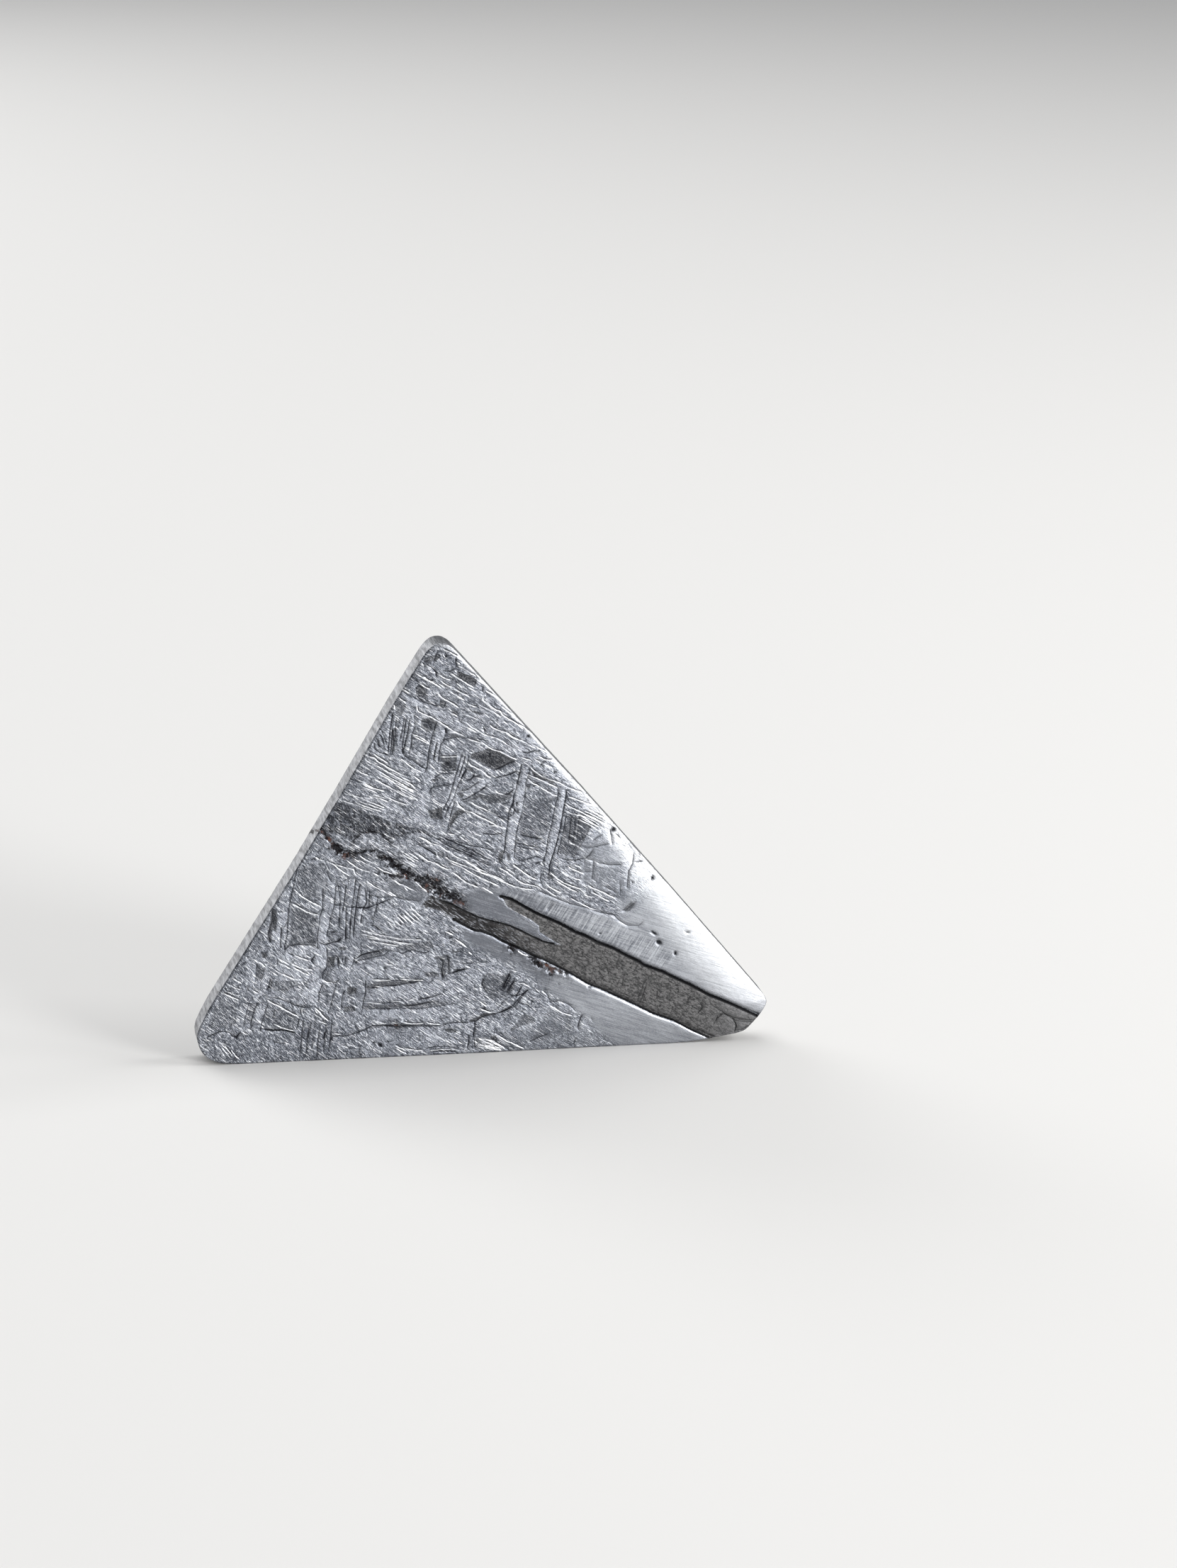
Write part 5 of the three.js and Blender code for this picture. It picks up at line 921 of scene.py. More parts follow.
def catmullRom(points, steps):
    # a smooth line through the points, as straight steps
    points = [Vector(p) for p in points]
    ends = [points[0]] + points + [points[-1]]
    out = []
    for a, b, c, d in zip(ends, ends[1:], ends[2:], ends[3:]):
        for step in range(1, steps + 1):
            t = step / steps
            out.append(0.5 * (2 * b + (c - a) * t + (2 * a - 5 * b + 4 * c - d) * t ** 2
                              + (3 * b - a - 3 * c + d) * t ** 3))
    return out


def outlineLoop():
    loop = [Vector(outline["baseStart"]), Vector(outline["baseEnd"])]
    loop += catmullRom([outline["baseEnd"]] + outline["rightCorner"], outline["spanSteps"])
    loop += [Vector(p) for p in outline["rightSide"]]
    start, control, end = loop[-1], Vector(outline["apexControl"]), Vector(outline["leftSide"][0])
    for step in range(1, outline["apexSteps"] + 1):
        t = step / outline["apexSteps"]
        loop.append(start * (1 - t) ** 2 + control * 2 * t * (1 - t) + end * t ** 2)
    loop += [Vector(p) for p in outline["leftSide"][1:]]
    loop += catmullRom([outline["leftSide"][-1]] + outline["leftCorner"], outline["spanSteps"])
    return np.array(loop)


def evenly(loop, step):
    # the same closed line with points at equal steps
    closed = np.vstack([loop, loop[:1]])
    lengths = np.r_[0, np.cumsum(np.linalg.norm(np.diff(closed, axis=0), axis=1))]
    count = int(round(lengths[-1] / step))
    at = np.linspace(0, lengths[-1], count, endpoint=False)
    return np.stack([np.interp(at, lengths, closed[:, 0]), np.interp(at, lengths, closed[:, 1])], axis=1)


def cutIntoCells(bm, face, cell):
    # slices one flat face both ways, so it can carry relief
    def around(faces):
        edges = {e for f in faces for e in f.edges}
        verts = {v for e in edges for v in e.verts}
        return list(faces) + list(edges) + list(verts)

    cells = [face]
    for axis in (0, 2):
        start = min(v.co[axis] for f in cells for v in f.verts)
        end = max(v.co[axis] for f in cells for v in f.verts)
        count = int((end - start) / cell)
        normal = Vector((axis == 0, 0, axis == 2))
        done, waiting = [], cells
        for i in range(1, count + 1):
            at = start + (end - start) * i / (count + 1)
            cut = bmesh.ops.bisect_plane(bm, geom=around(waiting), plane_co=normal * at, plane_no=normal,
                                         dist=slab["cutTolerance"])
            faces = {g for g in cut["geom"] if isinstance(g, bmesh.types.BMFace)}
            waiting = [f for f in faces if f.calc_center_median()[axis] > at]
            done += [f for f in faces if f.calc_center_median()[axis] <= at]
        cells = done + waiting


def buildSlab():
    half, edgeRound = slab["face"], slab["edgeRound"]
    bm = bmesh.new()
    ring = [bm.verts.new((x, -half, z)) for x, z in evenly(outlineLoop(), slab["outlineStep"])]
    front = bm.faces.new(ring)
    grown = bmesh.ops.extrude_face_region(bm, geom=[front], use_keep_orig=True)
    moved = [g for g in grown["geom"] if isinstance(g, bmesh.types.BMVert)]
    bmesh.ops.translate(bm, vec=(0, 2 * half, 0), verts=moved)
    bmesh.ops.recalc_face_normals(bm, faces=bm.faces)
    rimEdges = [e for e in bm.edges if abs(e.verts[0].co.y - e.verts[1].co.y) < 1e-6]
    bmesh.ops.bevel(bm, geom=rimEdges, offset=edgeRound, segments=slab["edgeSegments"], profile=0.5,
                    affect="EDGES", material=-1)
    sideCount = int(2 * half / slab["sideCell"])
    for i in range(1, sideCount):
        at = -half + edgeRound + (2 * half - 2 * edgeRound) * i / sideCount
        bmesh.ops.bisect_plane(bm, geom=bm.faces[:] + bm.edges[:] + bm.verts[:], plane_co=(0, at, 0),
                               plane_no=(0, 1, 0), dist=slab["cutTolerance"])
    flats = sorted(bm.faces, key=lambda f: f.calc_area())[-2:]
    for face in flats:
        isFront = face.calc_center_median().y < 0
        cutIntoCells(bm, face, slab["frontCell"] if isFront else slab["backCell"])
    return bm


def slideBy(points, step):
    return [(x + step[0], z + step[1]) for x, z in points]


def packet(firstStart, firstEnd, lastStart, lastEnd, count):
    # nearly parallel lines, each slipped and bent a little
    out = []
    for i in range(count):
        share = i / (count - 1)
        start = Vector(firstStart).lerp(Vector(lastStart), share)
        end = Vector(firstEnd).lerp(Vector(lastEnd), share)
        slip = packetLook["slip"] * math.sin(2.4 * i)
        bend = Vector((packetLook["bend"] * math.sin(1.7 * i), packetLook["bend"] * math.cos(2.9 * i)))
        line = [start.lerp(end, slip), start.lerp(end, 0.5) + bend, start.lerp(end, 1 + slip)]
        out.append([tuple(p) for p in line])
    return out


def allLines(onBack):
    # every etched line of one face, with 1 for a rim or 0 for a seam, and its strength
    out = []
    for isRim, kind, packets in ((1, rims, rimPackets), (0, seams, seamPackets)):
        lines = list(kind["lines"])
        if onBack:
            every = 2 if isRim else 1
            lines = [slideBy(line, backSlant["rims" if isRim else "seams"]) for line in lines[::every]]
        else:
            for entry in packets:
                lines += packet(*entry)
        for number, line in enumerate(lines):
            strength = lineStrength["least"] + lineStrength["spread"] * (number * lineStrength["step"] % 1)
            if number >= len(kind["lines"]):
                strength *= lineStrength["packet"]
            out.append((line, isRim, strength))
    return out


def distanceTo(points, line, reach):
    # for the points near the line: which they are, signed distance, and place along the line in mm
    ends = np.array(line)
    near = np.all((points > ends.min(0) - reach) & (points < ends.max(0) + reach), axis=1)
    index = np.nonzero(near)[0]
    local = points[index]
    best = np.full(len(index), 1e3)
    signed = np.full(len(index), 1e3)
    along = np.zeros(len(index))
    total = 0
    for a, b in zip(ends, ends[1:]):
        length = np.linalg.norm(b - a)
        unit = (b - a) / length
        offset = local - a
        run = offset @ unit
        side = offset @ np.array([-unit[1], unit[0]])
        over = np.clip(run, 0, length)
        gap = np.hypot(run - over, side)
        closer = gap < best
        best = np.where(closer, gap, best)
        signed = np.where(closer, np.where(side < 0, -gap, gap), signed)
        along = np.where(closer, total + run, along)
        total += length
    return index, signed, along, total


def insideBy(points, polygon):
    # signed distance to a closed line, above zero inside
    ends = np.array(polygon + polygon[:1], dtype=float)
    reach = relief["insideReach"]
    index, signed, _, _ = distanceTo(points, ends, reach)
    local = points[index]
    inside = np.zeros(len(index), bool)
    for (ax, az), (bx, bz) in zip(ends, ends[1:]):
        crosses = (az > local[:, 1]) != (bz > local[:, 1])
        slope = (bx - ax) / (bz - az) if bz != az else 0
        inside ^= crosses & (local[:, 0] < ax + (local[:, 1] - az) * slope)
    out = np.full(len(points), -reach)
    out[index] = np.where(inside, np.abs(signed), -np.abs(signed))
    return out


def nearest(points, lines, step, reach):
    # distance to the nearest line in half widths of that line, and in millimetres
    widths = np.full(len(points), 9.0)
    gaps = np.full(len(points), reach)
    for half, line in lines:
        index, signed, _, _ = distanceTo(points, slideBy(line, step), reach)
        signed = np.abs(signed)
        widths[index] = np.minimum(widths[index], signed / half)
        gaps[index] = np.minimum(gaps[index], signed)
    return widths, gaps


def smooth(edge0, edge1, x):
    t = np.clip((x - edge0) / (edge1 - edge0), 0, 1)
    return t * t * (3 - 2 * t)


def shareChannels(lines, gap):
    # lines closer than the gap go to different channels, so that no two are mixed up in one
    channels = [[] for _ in range(relief["channels"])]
    for line, isRim, strength in lines:
        dense = []
        for a, b in zip(line, line[1:]):
            count = max(2, int(math.dist(a, b) / relief["sampleStep"]))
            dense += [np.array(a) + (np.array(b) - np.array(a)) * i / count for i in range(count + 1)]
        dense = np.array(dense)
        room = []
        for channel in channels:
            others = [entry[-1] for entry in channel]
            gaps = [np.min(np.linalg.norm(dense[:, None] - other[None], axis=2)) for other in others]
            room.append(min(gaps, default=99))
        pick = next((i for i, r in enumerate(room) if r > gap), int(np.argmax(room)))
        channels[pick].append((line, isRim, strength, dense))
    return channels


def lineChannels(points, onBack):
    # each channel holds signed distance, rim weight and seam weight
    reach = relief["reach"] * (slab["backCell"] / slab["frontCell"] if onBack else 1)
    full = relief["fullReach"] * reach / relief["reach"]
    out = []
    for channel in shareChannels(allLines(onBack), 2 * reach):
        values = np.zeros((len(points), 3))
        values[:, 0] = 9
        for line, isRim, strength, _ in channel:
            index, signed, along, total = distanceTo(points, line, reach)
            closer = np.abs(signed) < np.abs(values[index, 0])
            index, signed, along = index[closer], signed[closer], along[closer]
            taper = smooth(*relief["taper"], along) * smooth(*relief["taper"], total - along)
            weight = strength * taper * (1 - smooth(full, reach, np.abs(signed)))
            values[index, 0] = signed
            values[index, 1] = weight if isRim else 0
            values[index, 2] = 0 if isRim else weight
        values[:, 0] = np.clip(values[:, 0], -1, 1)
        out.append(values)
    return out


def crown(points, edge):
    # how far the face has fallen away near its edge
    right = smooth(*relief["crownSpan"], points[:, 0])
    width, drop = [a + (b - a) * right for a, b in (relief["crownWidth"], relief["crownDrop"])]
    return drop * (1 - np.clip(edge / width, 0, 1)) ** 2


def lineHeights(channels):
    # each rim is a ledge with a dip above it, each seam a groove
    height = np.zeros(len(channels[0]))
    for values in channels:
        s, rim, seam = values.T
        ledge = np.exp(-((s - rims["ledgeAt"]) / rims["spread"]) ** 2)
        dip = rims["dipShare"] * np.exp(-((s - rims["dipAt"]) / rims["spread"]) ** 2)
        height += rims["rise"] * rim * (ledge - dip)
        height -= seams["depth"] * seam * np.exp(-(s / seams["spread"]) ** 2)
    return height


def etchFace(points, onBack):
    # the relief and the surface masks of one face, in millimetres
    slide = backSlant if onBack else {key: (0, 0) for key in backSlant}
    x, z = points.T

    def inside(polygon, kind):
        return insideBy(points, slideBy(polygon, slide[kind]))

    fieldInside = np.full(len(points), -1.0)
    fieldDark = np.zeros(len(points))
    for dark, polygon in fields:
        depth = inside(polygon, "fields")
        closer = depth > fieldInside
        fieldInside = np.where(closer, depth, fieldInside)
        fieldDark = np.where(closer, dark, fieldDark)
    patchInside = inside(patch, "fields")
    bandInside = inside(band["outline"], "band")
    swathInside = np.maximum.reduce([inside(polygon, "band") for polygon in swaths])
    for most, polygon in partSmooth:
        swathInside = np.maximum(swathInside, np.minimum(inside(polygon, "band"), most))
    combInside = inside(comb, "band")
    wider, shallow = relief["backGroove"] if onBack else (1, 1)
    grooveLines = [(half * wider, line) for half, line in grooves["lines"]]
    grooveWidths, _ = nearest(points, grooveLines, slide["band"], relief["grooveReach"])
    veinWidths, veinGap = nearest(points, vein["lines"], slide["band"], relief["veinReach"])
    pitInside = np.zeros(len(points))
    for pitX, pitZ, wide, tall, turn in pits:
        dx, dz = x - pitX, z - pitZ
        c, s = math.cos(math.radians(turn)), math.sin(math.radians(turn))
        radius = np.hypot((dx * c + dz * s) / wide, (dz * c - dx * s) / tall)
        pitInside = np.maximum(pitInside, 1 - smooth(*relief["pitEdge"], radius))

    edge = insideBy(points, [tuple(p) for p in evenly(outlineLoop(), relief["edgeOutlineStep"])])
    lighter = np.zeros(len(points))
    for amount, polygon in tints:
        lighter += amount * smooth(*relief["tintEdge"], inside(polygon, "fields"))
    # painted highlight along the edge of the face, widest at the right
    narrow, broad = relief["edgeHighlightWidth"]
    edgeHighlightWidth = narrow + (broad - narrow) * smooth(*relief["edgeHighlightSpan"], x)
    paintedEdgeHighlight = 1 - smooth(0, 1, edge / edgeHighlightWidth)
    paintedEdgeHighlight = paintedEdgeHighlight * smooth(*relief["edgeHighlightFromLeft"], x) * smooth(*relief["edgeHighlightFromBase"], z)

    grainAt = points * relief["grainScale"]
    bumps = np.array([noise.fractal(Vector((px, pz, 7.0 * onBack)), 0.9, 2.0, 3) for px, pz in grainAt])
    speckleAt = points * relief["speckleScale"]
    speckle = np.array([noise.noise(Vector((px, pz, 3.0 + onBack))) for px, pz in speckleAt])
    channels = lineChannels(points, onBack)
    eastward = relief["westDepth"] + (1 - relief["westDepth"]) * smooth(*relief["westSpan"], x)
    height = lineHeights(channels)
    height -= relief["fieldDepth"] * smooth(*relief["fieldEdge"], fieldInside) * fieldDark
    height -= relief["patchDepth"] * (1 + speckle) * smooth(*relief["patchEdge"], patchInside)
    bandDepth = band["depth"] * (1 + relief["bandSpeckle"] * speckle) * eastward
    height -= bandDepth * smooth(*relief["bandEdge"], bandInside)
    height -= grooves["depth"] * np.exp(-grooveWidths ** 2) * eastward * shallow
    height -= vein["depth"] * smooth(*relief["veinEdge"], veinWidths + relief["veinRagged"] * speckle)
    height -= relief["pitDepth"] * pitInside
    height += relief["grain"] * bumps
    height -= crown(points, edge)
    masks = {
        "zones": np.stack([np.clip(bandInside, -1, 1), np.clip(swathInside, -2, 2), grooveWidths], axis=1),
        "fields": np.stack([np.clip(fieldInside, -1, 1), fieldDark, np.clip(patchInside, -1, 1)], axis=1),
        "stains": np.stack([veinWidths, np.clip(combInside, -1, 1), pitInside], axis=1),
        "tints": np.stack([lighter, paintedEdgeHighlight, veinGap], axis=1),
    }
    masks.update({f"line{i}": values for i, values in enumerate(channels)})
    return height, edge, masks


def dressSides(co, data):
    # the band and the vein run right through, so they come out on the sides too
    half = slab["face"]
    sides = np.nonzero(np.abs(co[:, 1]) < half - slab["edgeRound"] + 1e-3)[0]
    through = (co[sides, 1:2] / half + 1) / 2
    points = co[sides][:, [0, 2]] - through * np.array(backSlant["band"])
    data["zones"][sides, 0] = np.clip(insideBy(points, band["outline"]), -1, 1)
    data["zones"][sides, 2], _ = nearest(points, grooves["lines"], (0, 0), relief["grooveReach"])
    veinWidths, veinGap = nearest(points, vein["lines"], (0, 0), relief["veinReach"])
    data["stains"][sides, 0] = veinWidths
    data["tints"][sides, 2] = veinGap
    for i in sides:
        x, y, z = co[i]
        if z > relief["sideFoot"]:
            scaled = [at * scale for at, scale in zip((x, y, z), relief["sideScale"])]
            rough = noise.fractal(Vector(scaled), 0.8, 2.0, 3)
            inward = Vector((-x, 0, relief["sideMiddle"] - z)).normalized()
            co[i] += np.array(inward) * relief["sideGrain"] * (rough - 0.2)


def makeSlice():
    bm = buildSlab()
    print("slab cut into", len(bm.faces), "faces")
    mesh = bpy.data.meshes.new("etched_slice")
    bmesh.ops.triangulate(bm, faces=[f for f in bm.faces if len(f.verts) > 4])
    bm.to_mesh(mesh)
    bm.free()
    mesh.polygons.foreach_set("use_smooth", np.ones(len(mesh.polygons), bool))

    co = np.zeros(len(mesh.vertices) * 3)
    mesh.vertices.foreach_get("co", co)
    co = co.reshape(-1, 3)
    # what a point gets that no face or side fills in: outside every zone and far from every line
    blanks = {"zones": (-1, -1, 9), "fields": (-1, 0, -1), "stains": (9, -1, 0), "tints": (0, 0, 3)}
    blanks.update({f"line{i}": (0, 0, 0) for i in range(relief["channels"])})
    data = {name: np.tile(np.array(blank, float), (len(co), 1)) for name, blank in blanks.items()}
    onFace = np.zeros(len(co))
    for onBack in (False, True):
        towards = 1 if onBack else -1
        depth = slab["face"] - towards * co[:, 1]
        chosen = np.nonzero(depth < slab["edgeRound"] + 1e-3)[0]
        points = co[chosen][:, [0, 2]]
        height, edge, masks = etchFace(points, onBack)
        onFace[chosen] = smooth(slab["edgeRound"], 0, depth[chosen])
        co[chosen, 1] += towards * np.where(onFace[chosen] > 0.999, height, -crown(points, edge))
        for name, values in masks.items():
            data[name][chosen] = values
        print("etched the", "back" if onBack else "front", "face at", len(chosen), "points")
    dressSides(co, data)

    co[:, 0] += centreShift
    mesh.vertices.foreach_set("co", (co * mm).ravel())
    for name, values in data.items():
        layer = mesh.attributes.new(name, "FLOAT_VECTOR", "POINT")
        layer.data.foreach_set("vector", values.astype(np.float32).ravel())
    mesh.attributes.new("onFace", "FLOAT", "POINT").data.foreach_set("value", onFace.astype(np.float32))
    mesh.update()
    piece = bpy.data.objects.new("etched_slice", mesh)
    bpy.context.scene.collection.objects.link(piece)
    return piece


class Wire:
    # a socket of a material, so that shader maths reads as Python

    def __init__(self, shader, socket):
        self.shader = shader
        self.socket = socket

    def maths(self, kind, *others, first=False):
        values = [*others, self] if first else [self, *others]
        return self.shader.add("ShaderNodeMath", {"operation": kind}, dict(enumerate(values)))

    def __add__(self, other):
        return self.maths("ADD", other)

    def __radd__(self, other):
        return self.maths("ADD", other)

    def __sub__(self, other):
        return self.maths("SUBTRACT", other)

    def __rsub__(self, other):
        return self.maths("SUBTRACT", other, first=True)

    def __mul__(self, other):
        return self.maths("MULTIPLY", other)

    def __rmul__(self, other):
        return self.maths("MULTIPLY", other)

    def __truediv__(self, other):
        return self.maths("DIVIDE", other)

    def __pow__(self, other):
        return self.maths("POWER", other)


class Shader:
    # one material, and every way in which a node gets into it

    def __init__(self, name):
        self.material = bpy.data.materials.new(name)
        self.material.use_nodes = True
        self.tree = self.material.node_tree
        self.tree.nodes.clear()

    def add(self, kind, settings=None, inputs=None, output=0):
        node = self.tree.nodes.new(kind)
        for key, value in (settings or {}).items():
            setattr(node, key, value)
        for key, value in (inputs or {}).items():
            if isinstance(value, Wire):
                self.tree.links.new(value.socket, node.inputs[key])
            else:
                node.inputs[key].default_value = value
        return Wire(self, node.outputs[output]) if len(node.outputs) else None

    def attribute(self, name, output):
        return self.add("ShaderNodeAttribute", {"attribute_name": name}, output=output)

    def split(self, vector):
        node = self.add("ShaderNodeSeparateXYZ", inputs={0: vector}).socket.node
        return [Wire(self, socket) for socket in node.outputs]

    def parts(self, name):
        # the three numbers of one attribute
        return self.split(self.attribute(name, "Vector"))

    def bell(self, distance, width):
        return self.add("ShaderNodeMath", {"operation": "EXPONENT"}, {0: (distance / width) ** 2 * -1})

    def ease(self, value, start, end, low=0.0, high=1.0):
        return self.add("ShaderNodeMapRange", {"interpolation_type": "SMOOTHSTEP"},
                        {"Value": value, "From Min": start, "From Max": end, "To Min": low, "To Max": high})

    def clamp(self, value):
        return self.add("ShaderNodeClamp", inputs={0: value})

    def blend(self, factor, a, b):
        return self.add("ShaderNodeMix", {"data_type": "RGBA", "clamp_factor": True},
                        {"Factor": factor, 6: a, 7: b}, output=2)

    def drawnOut(self, place, turn, along, across, seed):
        # the face's coordinates, turned and scaled to so many cells a millimetre each way
        turned = self.add("ShaderNodeMapping", {"vector_type": "TEXTURE"},
                          {"Vector": place, "Rotation": (0, math.radians(-turn), 0),
                           "Location": (seed * mm, 0, seed * mm)})
        return self.add("ShaderNodeVectorMath", {"operation": "MULTIPLY"},
                        {0: turned, 1: (along / mm, 0.35 / mm, across / mm)})

    def streaks(self, place, turn, along, across, detail=2.0, roughness=0.55, seed=0.0):
        return self.add("ShaderNodeTexNoise", inputs={
            "Vector": self.drawnOut(place, turn, along, across, seed), "Scale": 1.0, "Detail": detail,
            "Roughness": roughness})

    def grains(self, place, perMm, detail=2.0, roughness=0.6):
        return self.streaks(place, 0, perMm, perMm, detail, roughness)

    def cells(self, place, turn, along, across, seed):
        # one grey for each long cell
        return self.add("ShaderNodeTexVoronoi", inputs={
            "Vector": self.drawnOut(place, turn, along, across, seed), "Scale": 1.0}, output="Color")

    def cracks(self, place, turn, along, across, seed):
        # distance to the nearest border between long cells
        return self.add("ShaderNodeTexVoronoi", {"feature": "DISTANCE_TO_EDGE"}, {
            "Vector": self.drawnOut(place, turn, along, across, seed), "Scale": 1.0})


metal = {
    "barDark": (0.080, 0.087, 0.104, 1),
    "barLight": (0.385, 0.405, 0.45, 1),
    # painted highlight colour: the glints on the streaks, the bright hair lines and the rims
    "paintedGlint": (0.97, 0.98, 1.0, 1),
    # dark colour: painted shade of the streaks, hair lines, seams and rims, and the bar outlines
    "gap": (0.026, 0.027, 0.033, 1),
    # painted highlight along the edge
    "paintedEdgeHighlight": (0.80, 0.81, 0.83, 1),
    "swathDark": (0.17, 0.18, 0.205, 1),
    "swathLight": (0.56, 0.58, 0.62, 1),
    "fieldDark": (0.022, 0.023, 0.027, 1),
    "fieldLight": (0.15, 0.152, 0.16, 1),
    "mineralDark": (0.019, 0.0188, 0.020, 1),
    "mineral": (0.058, 0.0575, 0.0585, 1),
    "mineralLight": (0.150, 0.147, 0.148, 1),
    "mineralPale": (0.215, 0.215, 0.22, 1),
    # painted shade in the grooves and in the cracks of the band
    "groove": (0.008, 0.008, 0.009, 1),
    "rust": (0.085, 0.030, 0.018, 1),
    "char": (0.012, 0.010, 0.011, 1),
    "sideDark": (0.12, 0.122, 0.13, 1),
    "sideLight": (0.33, 0.335, 0.35, 1),
}

# How the patterns lie on the face: turn in degrees, cells a millimetre along and across, then the rest
patterns = {
    "steep": {"turn": -52, "along": 2.4, "across": 10.5, "detail": 1.5},
    "flat": {"turn": -35, "along": 2.2, "across": 10.5, "detail": 1.5, "seed": 40},
    "crisp": {"turn": -45, "along": 6.0, "across": 20.0, "detail": 0.5, "seed": 33},
    "swirl": {"turn": -58, "along": 1.8, "across": 4.6, "detail": 3.0, "roughness": 0.7, "seed": 52},
    "slow": {"turn": -35, "along": 0.3, "across": 1.0, "detail": 1.0, "seed": 15},
    "hairs": {"turn": -37, "along": 0.75, "across": 9.0, "detail": 2.5, "roughness": 0.6, "seed": 140},
    "brushed": {"turn": -20, "along": 0.4, "across": 14.0, "detail": 1.0, "seed": 80},
    "combed": {"turn": 58, "along": 0.5, "across": 6.0, "detail": 1.0, "seed": 120},
    "torn": {"turn": -34, "along": 1.2, "across": 6.0, "detail": 4.0, "roughness": 0.75, "seed": 61},
    "mineral": {"turn": -30, "along": 2.8, "across": 6.2, "detail": 3.0, "roughness": 0.7, "seed": 60},
    "barsFlat": {"turn": -32, "along": 0.28, "across": 1.25, "seed": 5},
    "barsSteep": {"turn": -74, "along": 0.3, "across": 1.2, "seed": 25},
    "crystals": {"turn": 20, "along": 1.6, "across": 2.4, "seed": 70},
    "crack": {"turn": 30, "along": 0.55, "across": 0.8, "seed": 90},
    "web": {"turn": -20, "along": 0.75, "across": 1.1, "seed": 95},
}

# How the lines' painted highlight and painted shade are drawn across their width, in millimetres
lineLook = {"jitter": 0.13, "rimSpread": 0.048, "shadeAt": 0.12, "shadeSpread": 0.062, "seamSpread": 0.066}

# How strongly each layer covers the ones below it
cover = {
    "paintedGlint": 0.36,
    "gap": 0.4,
    "swath": 0.85,
    "stain": 0.7,
    "hairShade": 0.5,
    "hairLight": 0.6,
    "char": 0.95,
    "shreds": 0.7,
    "shredMetal": 0.75,
    "crack": 0.8,
    "web": 0.45,
}

# Height of the finest relief, in millimetres
fineHeight = {
    "paintedGlint": 0.01,
    "gap": 0.012,
    "streak": 0.02,
    "crisp": 0.012,
    "outline": 0.01,
    "hair": 0.012,
    "line": 0.035,
    "brushed": 0.006,
    "combed": 0.01,
    "mineral": 0.07,
    "mineralFine": 0.02,
    "corroded": 0.06,
    "patch": 0.04,
    "field": 0.04,
}


